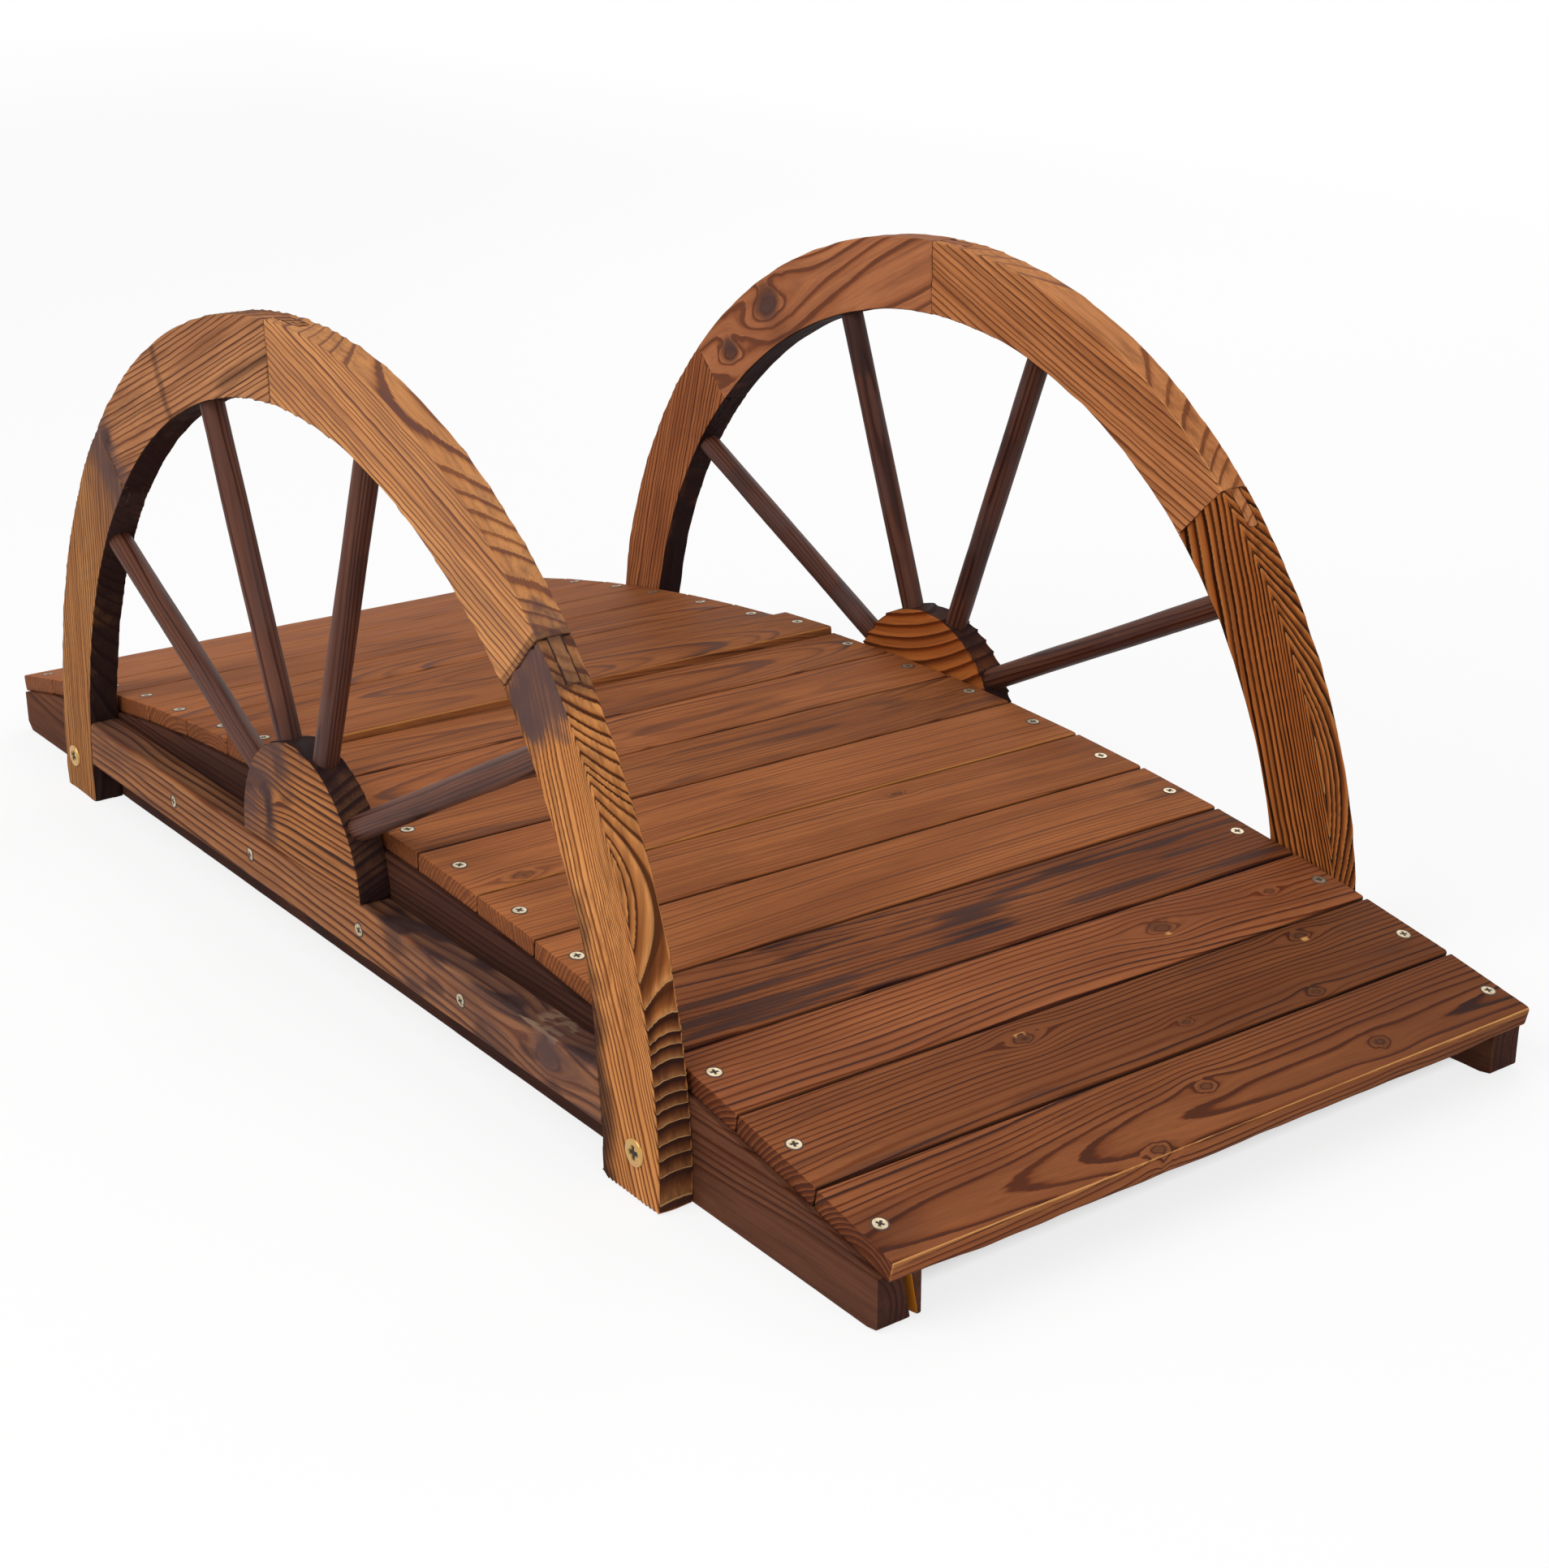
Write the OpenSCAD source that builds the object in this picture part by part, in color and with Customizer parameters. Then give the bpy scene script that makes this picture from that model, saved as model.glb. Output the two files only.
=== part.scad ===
// Wooden garden bridge: an arched deck of cross boards on two side beams,
// with a half wheel of four felloes, four round spokes and a half-round hub on each side.
// X runs along the bridge, Y across it and Z up; the origin is on the ground at the middle.

/* [Deck] */
// length of the deck along the bridge, mm
deck_len = 1270; // [900:10:1800]
// length of one deck board, across the bridge, mm
board_len = 542; // [400:2:800]
// thickness of a deck board, mm
board_thick = 14; // [10:0.5:25]
// gap between neighbouring boards, mm
board_gap = 1.6; // [0.8:0.2:5]
// radius of a board's long upper edges, mm
board_edge_r = 2.2; // [1:0.1:4]
// extra thickness of the one board that stands proud, mm
proud_extra = 5.5; // [1:0.5:10]
// height of the deck's top at the middle, mm
deck_top = 119.5; // [110:0.5:200]
// height of the deck's top at its two ends, mm
deck_end_top = 47; // [40:0.5:80]

/* [Side beams] */
// thickness of a side beam, mm
beam_thick = 27; // [20:0.5:45]
// how far the deck reaches past the end of a beam, mm
deck_overhang = 10; // [4:0.5:30]
// how far a beam's outer face stands out past the board ends, mm
beam_out = 3.5; // [1:0.5:8]
// cut-off at the lower corner of a beam's back end, mm
back_chamfer = 8; // [2:0.5:14]
// cut-off at the lower corner of a beam's front end, mm
front_chamfer = 2.5; // [0.5:0.5:14]
// length of the split in the near beam's front end, mm
split_len = 150; // [80:5:250]
// opening of the split at the beam's end, mm
split_open = 5; // [2:0.5:10]
// thickness of the split-off sliver at the ground, mm
split_low = 2; // [1:0.5:6]
// lean of the split away from upright, degrees
split_lean_angle = 11; // [0:0.5:14]

/* [Half wheels] */
// outer radius of a rim, mm
rim_r = 463.5; // [380:0.5:600]
// radial width of a rim, mm
rim_width = 58.5; // [40:0.5:90]
// thickness of rim, rail and hub across the bridge, mm
rim_thick = 25; // [20:0.5:40]
// height of the rim's centre above the ground, mm
wheel_lift = 7; // [0:0.5:20]
// place of both rim centres along the bridge, mm
wheel_x = -4; // [-10:0.5:10]
// lean of the near wheel's front felloe towards the middle, degrees
foot_lean_angle = 2.3; // [0:0.1:4]

/* [Rails and hubs] */
// height of a rail's lower edge above the ground, mm
rail_low = 33; // [20:0.5:45]
// height of a rail board, mm
rail_height = 39.5; // [30:0.5:60]
// radius of a rail's long outer edges, mm
rail_edge_r = 2; // [1:0.1:4]
// radius of a half-round hub, mm
hub_r = 92; // [75:0.5:120]
// place of the near hub along the bridge, mm
near_hub_x = -17.5; // [-30:0.5:30]
// place of the far hub along the bridge, mm
far_hub_x = -6; // [-30:0.5:30]

/* [Spokes] */
// diameter of a spoke, mm
spoke_d = 19; // [14:0.5:26]
// angle of the first spoke above the ground, degrees
first_spoke_angle = 27; // [22:0.5:32]
// height above the rail at which the spokes' lines meet, mm
spoke_rise = 12; // [6:0.5:20]
// depth of a spoke's seat in the rim, mm
rim_seat = 16; // [10:0.5:24]
// depth of a spoke's seat in the hub, mm
hub_seat = 24; // [14:0.5:36]

/* [Joints] */
// length of a felloe's tenon, mm
tenon_len = 30; // [20:0.5:40]
// thickness of a felloe's tenon, mm
tenon_thick = 10; // [6:0.5:14]
// clearance in glued joints and round a spoke in its bore, mm
fit_gap = 0.15; // [0.1:0.05:0.4]

/* [Hidden] */
$fn = 96;

// share of the deck's length that each board takes, from the front end of the bridge to the back
board_shares = [71, 76, 68, 78, 79, 73, 80, 77, 79, 78, 71, 77, 75, 73, 71, 73, 71];
// number of the board that stands proud, counted from the front
proud_board = 11;
board_count = len(board_shares);
spoke_count = 4;
spoke_step_angle = (180 - 2 * first_spoke_angle) / (spoke_count - 1);
// the two sides of the bridge, as the sign of their place across it
near = -1;
far = 1;
// what differs by hand work from one wheel to the other: the hub's place, the lean of the front felloe,
// the angles at which the felloes meet and each spoke's departure from even spacing, front to back
function hub_x(side) = side == near ? near_hub_x : far_hub_x;
function lean_angle(side) = side == near ? foot_lean_angle : 0;
function joint_angles(side) = side == near ? [44.5, 91.2, 134] : [45, 90, 135];
function spoke_angles_off(side) = side == near ? [0, 0, 0, 0] : [-0.5, 0, -0.5, 1];

// total of the first n shares
function share_sum(n) = n == 0 ? 0 : board_shares[n - 1] + share_sum(n - 1);
// place along the bridge of the edge between board n and board n + 1
function edge_x(n) = deck_len * (0.5 - share_sum(n) / share_sum(board_count));

// the deck's top is an arc through its middle and its ends
deck_drop = deck_top - deck_end_top;
deck_r = (deck_len * deck_len / 4 + deck_drop * deck_drop) / (2 * deck_drop);
// the boards' undersides lie on a polygon about the same centre
seat_r = deck_r - board_thick;
arc_z = deck_top - deck_r;
function arc_angle(x) = asin(x / deck_r);
// angle of a board's middle and half the angle that it covers
function board_mid(n) = (arc_angle(edge_x(n - 1)) + arc_angle(edge_x(n))) / 2;
function board_half(n) = (arc_angle(edge_x(n - 1)) - arc_angle(edge_x(n))) / 2;
// a beam's upper edge has one flat under each board; this is the corner between flats n and n + 1
function seat_corner(n) =
    let (a = (board_mid(n) + board_mid(n + 1)) / 2)
    let (r = seat_r / cos(a - board_mid(n)))
    [r * sin(a), arc_z + r * cos(a)];

beam_len = deck_len - 2 * deck_overhang;
beam_y = board_len / 2 + beam_out;
beam_inner_y = beam_y - beam_thick;
wheel_y = beam_y + rim_thick / 2;
rim_inner = rim_r - rim_width;
rim_mid = rim_r - rim_width / 2;
rail_top = rail_low + rail_height;
reach = 2 * rim_r;
// how far a tenon's block runs back into its own felloe, and the sliver into its beam
tenon_root = 1;
split_lap = 3;
// angle past the rim's centre at which the feet are certainly below the ground
under_ground = 20;

// Deck boards

// cross-section of a sawn board with its two upper edges rounded
module board_section(width, thick, edge_r) {
    translate([-width / 2, 0])
        square([width, thick - edge_r]);
    translate([edge_r - width / 2, 0])
        square([width - 2 * edge_r, thick]);
    for (way = [-1, 1])
        translate([way * (width / 2 - edge_r), thick - edge_r])
            circle(edge_r);
}

// board n of the deck, flat on its seats on both beams
module deck_plank(n) {
    width = 2 * seat_r * tan(board_half(n)) - board_gap;
    thick = board_thick + (n == proud_board ? proud_extra : 0);
    color("#8b5b41")
        translate([0, board_len / 2, arc_z])
            rotate([0, board_mid(n), 0])
                translate([0, 0, seat_r])
                    rotate([90, 0, 0])
                        linear_extrude(board_len)
                            board_section(width, thick, board_edge_r);
}

// Side beams

// a beam's outline: straight on the ground, with one flat under each board
module beam_outline() {
    end_x = beam_len / 2;
    function end_z(n, x) = arc_z + (seat_r - x * sin(board_mid(n))) / cos(board_mid(n));
    lower = [
        [back_chamfer - end_x, 0],
        [end_x - front_chamfer, 0],
        [end_x, front_chamfer]
    ];
    upper = [
        [end_x, end_z(1, end_x)],
        for (n = [1 : board_count - 1]) seat_corner(n),
        [-end_x, end_z(board_count, -end_x)],
        [-end_x, back_chamfer]
    ];
    polygon(concat(lower, upper));
}

// the outline drawn out inwards from the outer face
module beam_block(side, thick) {
    translate([0, side * (beam_y - thick / 2) + thick / 2, 0])
        rotate([90, 0, 0])
            linear_extrude(thick)
                beam_outline();
}

// slab behind the split of the near beam, from the split's root to past the beam's front end;
// back is how far the slab reaches past the beam's inner face
module split_slab(back) {
    rotate([90, 0, 90])
        linear_extrude(2 * split_len)
            polygon([
                [-split_low, 0],
                [back, 0],
                [back, deck_top],
                [-split_low - deck_top * tan(split_lean_angle), deck_top]
            ]);
}

module split_root() {
    translate([beam_len / 2 - split_len, -beam_inner_y, 0])
        children();
}

// the near beam's front end is split, and the sliver stands off from it
module near_beam() {
    color("#4a2e20") {
        difference() {
            beam_block(near, beam_thick);
            split_root()
                split_slab(split_open);
        }
        intersection() {
            beam_block(near, beam_thick + split_open);
            split_root()
                rotate(asin(split_open / split_len))
                    translate([-split_lap, 0, 0])
                        split_slab(0);
        }
    }
}

module far_beam() {
    color("#4a2e20")
        beam_block(far, beam_thick);
}

// Half wheels: each shape is drawn upright about the rim's centre, with its thickness along Z

module wheel_place(side) {
    translate([wheel_x, side * wheel_y, wheel_lift])
        rotate([90, 0, 0])
            children();
}

// turns a shape about the middle of the front joint, so that its foot leans in
module lean_in(side) {
    angle = joint_angles(side)[0];
    rotate(angle)
        translate([rim_mid, 0, 0])
            rotate(-lean_angle(side))
                translate([-rim_mid, 0, 0])
                    rotate(-angle)
                        children();
}

// everything above the ground
module above_ground() {
    translate([-reach, -wheel_lift, -reach])
        cube([2 * reach, reach, 2 * reach]);
}

// wedge between two angles, thicker than the rim
module wedge(from, to) {
    linear_extrude(2 * rim_thick, center = true)
        polygon([[0, 0], reach * [cos(from), sin(from)], reach * [cos(to), sin(to)]]);
}

module rim_ring() {
    difference() {
        cylinder(h = rim_thick, r = rim_r, center = true);
        cylinder(h = 2 * rim_thick, r = rim_inner, center = true);
    }
}

// space of the tenon at a joint, on the side that way points to, with a gap all round
module tenon_space(angle, way, gap) {
    rotate(angle)
        translate([rim_mid, way * (tenon_len + gap) / 2, 0])
            cube([2 * rim_width, tenon_len + gap + 2 * tenon_root, tenon_thick + 2 * gap], center = true);
}

module tenon(angle, way) {
    intersection() {
        rim_ring();
        tenon_space(angle, way, 0);
    }
}

// where the lines of a wheel's spokes meet, and how far along a line the hub's and the rim's faces lie
function focus(side) = [hub_x(side) - wheel_x, rail_top + spoke_rise - wheel_lift];
function spoke_angle(side, k) =
    first_spoke_angle + (k - 1) * spoke_step_angle + spoke_angles_off(side)[k - 1];
function hub_reach(a) = sqrt(hub_r * hub_r - pow(spoke_rise * cos(a), 2)) - spoke_rise * sin(a);
function rim_reach(f, a) =
    let (along = f * [cos(a), sin(a)])
    sqrt(along * along + rim_inner * rim_inner - f * f) - along;

// spoke k as a plain rod, with a gap round it and at its two ends
module spoke_rod(side, k, gap) {
    a = spoke_angle(side, k);
    f = focus(side);
    start = hub_reach(a) - hub_seat - gap;
    finish = rim_reach(f, a) + rim_seat + gap;
    translate(f)
        rotate(a)
            translate([start, 0, 0])
                rotate([0, 90, 0])
                    cylinder(h = finish - start, d = spoke_d + 2 * gap);
}

module spoke_bores(side) {
    for (k = [1 : spoke_count])
        spoke_rod(side, k, fit_gap);
}

// the part of the rim between felloe k's two joints; felloe 1 stands on the ground at the front
module felloe_arc(side, k) {
    joints = joint_angles(side);
    from = k == 1 ? -under_ground : joints[k - 2];
    to = k == 4 ? 180 + under_ground : joints[k - 1];
    intersection() {
        if (k == 1)
            lean_in(side)
                rim_ring();
        else
            rim_ring();
        wedge(from, to);
        above_ground();
    }
}

// felloes 2 and 3 carry the tenons, and felloes 1, 2 and 4 are slotted for them
module felloe(side, k) {
    joints = joint_angles(side);
    color("#b07c42")
        wheel_place(side)
            difference() {
                union() {
                    felloe_arc(side, k);
                    if (k == 2)
                        tenon(joints[0], -1);
                    if (k == 3) {
                        tenon(joints[1], -1);
                        tenon(joints[2], 1);
                    }
                }
                if (k == 1)
                    tenon_space(joints[0], -1, fit_gap);
                if (k == 2)
                    tenon_space(joints[1], -1, fit_gap);
                if (k == 4)
                    tenon_space(joints[2], 1, fit_gap);
                spoke_bores(side);
            }
}

module spoke(side, k) {
    color("#4f3d38")
        wheel_place(side)
            spoke_rod(side, k, 0);
}

// Rails and hubs

// a rail's section: flat against the beam, with its two outer edges rounded
module rail_section(side) {
    translate([rail_height / 2, 0])
        rotate(side == far ? 180 : 0)
            translate([0, -rim_thick / 2])
                board_section(rail_height, rim_thick, rail_edge_r);
}

// board between the two feet of a wheel, with its ends cut to the rim's curve
module rail(side) {
    color("#7d5438")
        wheel_place(side)
            intersection() {
                translate([-rim_r, rail_low - wheel_lift, 0])
                    rotate([90, 0, 90])
                        linear_extrude(2 * rim_r)
                            rail_section(side);
                cylinder(h = 2 * rim_thick, r = rim_inner - fit_gap, center = true);
                lean_in(side)
                    cylinder(h = 2 * rim_thick, r = rim_inner - fit_gap, center = true);
            }
}

// half-round block on the rail, bored for the spokes
module hub(side) {
    color("#85552f")
        wheel_place(side)
            difference() {
                intersection() {
                    translate([hub_x(side) - wheel_x, rail_top - wheel_lift, 0])
                        cylinder(h = rim_thick, r = hub_r, center = true);
                    translate([-reach, rail_top - wheel_lift, -rim_thick])
                        cube([2 * reach, reach, 2 * rim_thick]);
                }
                spoke_bores(side);
            }
}

deck_plank(1);  // deck_plank_01
deck_plank(2);  // deck_plank_02
deck_plank(3);  // deck_plank_03
deck_plank(4);  // deck_plank_04
deck_plank(5);  // deck_plank_05
deck_plank(6);  // deck_plank_06
deck_plank(7);  // deck_plank_07
deck_plank(8);  // deck_plank_08
deck_plank(9);  // deck_plank_09
deck_plank(10);  // deck_plank_10
deck_plank(11);  // deck_plank_11
deck_plank(12);  // deck_plank_12
deck_plank(13);  // deck_plank_13
deck_plank(14);  // deck_plank_14
deck_plank(15);  // deck_plank_15
deck_plank(16);  // deck_plank_16
deck_plank(17);  // deck_plank_17
near_beam();
far_beam();
rail(near);  // near_rail
rail(far);  // far_rail
hub(near);  // near_hub
hub(far);  // far_hub
felloe(near, 1);  // near_felloe_1
felloe(near, 2);  // near_felloe_2
felloe(near, 3);  // near_felloe_3
felloe(near, 4);  // near_felloe_4
felloe(far, 1);  // far_felloe_1
felloe(far, 2);  // far_felloe_2
felloe(far, 3);  // far_felloe_3
felloe(far, 4);  // far_felloe_4
spoke(near, 1);  // near_spoke_1
spoke(near, 2);  // near_spoke_2
spoke(near, 3);  // near_spoke_3
spoke(near, 4);  // near_spoke_4
spoke(far, 1);  // far_spoke_1
spoke(far, 2);  // far_spoke_2
spoke(far, 3);  // far_spoke_3
spoke(far, 4);  // far_spoke_4
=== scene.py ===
"""Garden bridge of charred and brushed softwood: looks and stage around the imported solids."""
import itertools
import math

import bpy
import numpy as np
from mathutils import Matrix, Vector


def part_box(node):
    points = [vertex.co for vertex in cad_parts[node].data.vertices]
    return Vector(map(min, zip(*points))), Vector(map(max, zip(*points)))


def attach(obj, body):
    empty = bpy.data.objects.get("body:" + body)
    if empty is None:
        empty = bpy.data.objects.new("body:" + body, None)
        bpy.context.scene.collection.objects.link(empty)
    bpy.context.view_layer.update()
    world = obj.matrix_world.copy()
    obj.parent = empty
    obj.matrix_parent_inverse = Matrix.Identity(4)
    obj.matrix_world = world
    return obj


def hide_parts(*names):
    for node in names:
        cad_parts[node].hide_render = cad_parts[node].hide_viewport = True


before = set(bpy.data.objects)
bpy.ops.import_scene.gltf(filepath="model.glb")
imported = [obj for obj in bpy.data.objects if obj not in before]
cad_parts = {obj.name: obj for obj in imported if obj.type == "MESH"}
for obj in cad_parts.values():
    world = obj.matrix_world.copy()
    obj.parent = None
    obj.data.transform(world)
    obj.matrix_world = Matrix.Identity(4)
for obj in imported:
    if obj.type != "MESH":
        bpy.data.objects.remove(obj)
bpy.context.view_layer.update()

MM = 0.001
NEAR = -1
FAR = 1
SIDES = {"near": NEAR, "far": FAR}

# Camera, fitted to the photograph's frame
CAMERA_PLACE = Vector((1.57718, -1.04670, 0.79037))
CAMERA_TARGET = Vector((0.03588, 0.08979, 0.06440))
CAMERA_LENS = 59.07
CAMERA_SENSOR = 36

# Sizes of the half wheels
RIM_R = 463.5 * MM
RIM_WIDTH = 58.5 * MM
RIM_THICK = 25 * MM
RIM_MID = RIM_R - RIM_WIDTH / 2
RIM_INNER = RIM_R - RIM_WIDTH
WHEEL_X = -4 * MM
WHEEL_Z = 7 * MM
BEAM_OUTER_Y = 274.5 * MM
BEAM_THICK = 27 * MM
WHEEL_Y = BEAM_OUTER_Y + RIM_THICK / 2
FOOT_LEAN = math.radians(2.3)
JOINT_DEGREES = {NEAR: (44.5, 91.2, 134), FAR: (45, 90, 135)}
TENON_LEN = 30 * MM
TENON_THICK = 10 * MM
JOINT_GAP = 0.25 * MM
OPEN_JOINT_GAP = 0.9 * MM
SLOT_GAP = 0.1 * MM
RIM_EDGE = 1.4 * MM

# Sizes of the rails, hubs and spokes
RAIL_LOW = 33 * MM
RAIL_HEIGHT = 39.5 * MM
RAIL_TOP = RAIL_LOW + RAIL_HEIGHT
RAIL_EDGE = 2.6 * MM
HUB_R = 92 * MM
HUB_X = {NEAR: -17.5 * MM, FAR: -6 * MM}
HUB_EDGE = 1.6 * MM
SPOKE_R = 9.5 * MM
SPOKE_RISE = 12 * MM
SPOKE_DEGREES = {NEAR: (27, 69, 111, 153), FAR: (26.5, 69, 110.5, 154)}
RIM_SEAT = 16 * MM
HUB_SEAT = 24 * MM

# Sizes of the deck and the beams
PLANK_COUNT = 17
PLANK_EDGE = 2.2 * MM
PLANK_END_EDGE = 1.0 * MM
DECK_TOP = 119.5 * MM
DECK_END_TOP = 47 * MM
DECK_HALF = 635 * MM
BOARD_THICK = 14 * MM
BEAM_HALF = 625 * MM
BACK_CHAMFER = 8 * MM
FRONT_CHAMFER = 2.5 * MM
SPLIT_LEN = 150 * MM
SPLIT_OPEN = 5 * MM
SPLIT_LOW = 2 * MM
SPLIT_LEAN = math.radians(11)


# Noise and small helpers

def noise(points, seed):
    """Smooth noise between -1 and 1, one value for each row of points."""
    table = np.random.default_rng(seed).uniform(-1, 1, 4096)
    cell = np.floor(points).astype(np.int64)
    part = points - cell
    part = part * part * (3 - 2 * part)
    total = np.zeros(len(points))
    for corner in itertools.product((0, 1), repeat=points.shape[1]):
        spot = cell + np.array(corner)
        key = np.zeros(len(points), np.int64)
        for axis, prime in zip(range(points.shape[1]), (73856093, 19349663, 83492791)):
            key ^= spot[:, axis] * prime
        weight = np.prod(np.where(np.array(corner) == 1, part, 1 - part), axis=1)
        total += weight * table[key % len(table)]
    return total


def noise_along(values, seed):
    return noise(values[:, None], seed)


def smooth(value, low, high):
    """0 below low, 1 above high and a smooth step between them."""
    t = np.clip((value - low) / (high - low), 0, 1)
    return t * t * (3 - 2 * t)


def fall(value, low, high):
    """1 below low, 0 above high and a smooth step between them."""
    return smooth(-value, -high, -low)


def bell(value, middle, reach):
    """1 at the middle, and less the further off, over a given reach."""
    return np.exp(-((value - middle) / reach) ** 2)


def unit(vector):
    vector = np.asarray(vector, float)
    return vector / np.linalg.norm(vector)


# Grids of points over the skin of a box

def edge_rows(length, radius, step):
    """Places along one side of a box, with close rows where its edges are rounded."""
    inner = length / 2 - radius
    count = max(2, round(2 * inner / step))
    rows = np.linspace(-inner, inner, count + 1)
    if radius == 0:
        return rows
    ends = np.array([inner + 0.4 * radius, length / 2])
    return np.concatenate([-ends[::-1], rows, ends])


def box_grid(xs, ys, zs, open_low=False, open_high=False):
    """Points on the skin of a box and the quads between them; its two ends along x may stay open."""
    shape = (len(xs), len(ys), len(zs))
    on_skin = np.zeros(shape, bool)
    on_skin[:, 0, :] = on_skin[:, -1, :] = True
    on_skin[:, :, 0] = on_skin[:, :, -1] = True
    on_skin[0] |= not open_low
    on_skin[-1] |= not open_high
    number = np.full(shape, -1)
    number[on_skin] = np.arange(on_skin.sum())
    spots = np.argwhere(on_skin)
    points = np.stack([xs[spots[:, 0]], ys[spots[:, 1]], zs[spots[:, 2]]], axis=1)
    quads = []
    for axis, end in itertools.product(range(3), (0, -1)):
        if axis == 0 and (open_low, open_high)[end]:
            continue
        side = np.take(number, end, axis)
        corners = [side[:-1, :-1], side[1:, :-1], side[1:, 1:], side[:-1, 1:]]
        quad = np.stack(corners, axis=-1).reshape(-1, 4)
        flip = (end == 0) != (axis == 1)
        quads.append(quad[:, ::-1] if flip else quad)
    return points, np.concatenate(quads)


def round_box(points, size, radius, open_low=False, open_high=False):
    """Moves the points of a box onto rounded edges; the second result is 1 on the rounding."""
    half = np.asarray(size) / 2
    radius = np.maximum(radius, 1e-9)
    lowest = radius - half
    highest = half - radius
    if open_low:
        lowest[0] = -half[0]
    if open_high:
        highest[0] = half[0]
    core = np.clip(points, lowest, highest)
    out = (points - core) / radius
    far_out = np.linalg.norm(out, axis=1)
    edge = smooth(far_out, 1.0, 1.3)
    return core + radius * out / np.maximum(far_out, 1)[:, None], edge


# Rows this close to a cut are left out
CUT_REACH = 0.001 * MM


def rounded_block(size, radius, steps, open_low=False, open_high=False, depth=None):
    """Points, quads and edge weight of a box with rounded edges, about its own middle.

    Given two depths, it is the part between them; the faces where it is cut keep sharp edges.
    """
    rows = []
    for axis in range(3):
        rows.append(edge_rows(size[axis], radius[axis], steps[axis]))
    if depth:
        low, high = depth
        kept = rows[2][(rows[2] > low + CUT_REACH) & (rows[2] < high - CUT_REACH)]
        rows[2] = np.concatenate([[low], kept, [high]])
    points, quads = box_grid(*rows, open_low, open_high)
    points, edge = round_box(points, size, np.asarray(radius, float), open_low, open_high)
    return points, quads, edge


def ring_quads(rows, segments):
    """Quads between closed rings of points, row after row."""
    number = np.arange(rows * segments).reshape(rows, segments)
    after = np.roll(number, -1, axis=1)
    return np.stack([number[:-1], number[1:], after[1:], after[:-1]], axis=-1).reshape(-1, 4)


def join_blocks(blocks):
    """One set of points, quads and edge weights from several."""
    points = []
    quads = []
    edges = []
    count = 0
    for block_points, block_quads, block_edge in blocks:
        points.append(block_points)
        quads.append(block_quads + count)
        edges.append(block_edge)
        count += len(block_points)
    return np.concatenate(points), np.concatenate(quads), np.concatenate(edges)


# Points become one when their places agree to this step
WELD_REACH = 0.01 * MM


def weld(points, quads, edge):
    """Makes one point of those that lie in the same place."""
    keys = np.round(points / WELD_REACH).astype(np.int64)
    _, first, place = np.unique(keys, axis=0, return_index=True, return_inverse=True)
    return points[first], place.ravel()[quads], edge[first]


def vertex_normals(points, quads):
    corner = points[quads]
    face = np.cross(corner[:, 2] - corner[:, 0], corner[:, 3] - corner[:, 1])
    total = np.zeros_like(points)
    for k in range(4):
        np.add.at(total, quads[:, k], face)
    return total / np.maximum(np.linalg.norm(total, axis=1), 1e-12)[:, None]


# Growth rings

class Wood:
    """How the growth rings run through one piece, and how deep brushing has worn them."""

    slope = 0.0
    bow = 0.0
    sag = 0.0
    # A drifting pith moves by the first value between two places along the grain
    drift = (0.0, -1.0, 1.0)
    # Outside the core, rings lie 1 + tighten * distance times as close
    core = 0.0
    tighten = 0.0
    wander = 2 * MM
    wave = 0.7 * MM
    knots = ()
    # Relief where the rings stand upright in the surface, and where they lie flat in it
    relief = (0.25 * MM, 0.7 * MM)
    lumps = 0.0
    arris = 0.55
    heavy = 1.0
    tint = 0.5

    def __init__(self, origin, grain, side, pith, spacing, seed, **more):
        self.origin = np.asarray(origin, float)
        self.grain = unit(grain)
        self.deep = unit(np.cross(self.grain, side))
        self.side = np.cross(self.deep, self.grain)
        self.pith = pith
        self.spacing = spacing
        self.seed = seed
        vars(self).update(more)


# A bowed pith lies off its line by the wood's bow, and a sagging one by its sag, this far from the middle
BOW_REACH = 0.27
# Nearer the pith than this, the way that rings face fades out
PITH_R = 1 * MM
# Lengths of the pith's wandering across and deep, and of the rings' ripples along, outwards and across
WANDER_ACROSS = 0.23
WANDER_DEEP = 0.17
RIPPLES = (0.07, 0.011, 0.03)
# How uneven the rings' widths are, and the extra rings about a knot's heart
RING_UNEVEN = 0.45
KNOT_RINGS = 1.8


def knot_push(along, across, knot):
    """Pushes the rings aside round a knot and gives how near each point is to its heart."""
    place_along, place_across, radius = knot
    far_along = along - place_along
    far_across = across - place_across
    reach = bell(far_along, 0, 4.5 * radius) * bell(far_across, 0, 3.5 * radius)
    push = -1.3 * radius * np.tanh(far_across / (0.7 * radius)) * reach
    uneven = 1 + 0.25 * noise(np.stack([far_along, far_across], axis=1) / (0.8 * radius), 19)
    heart = uneven * np.hypot(far_along / 1.35, far_across) / radius
    return push, heart


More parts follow.
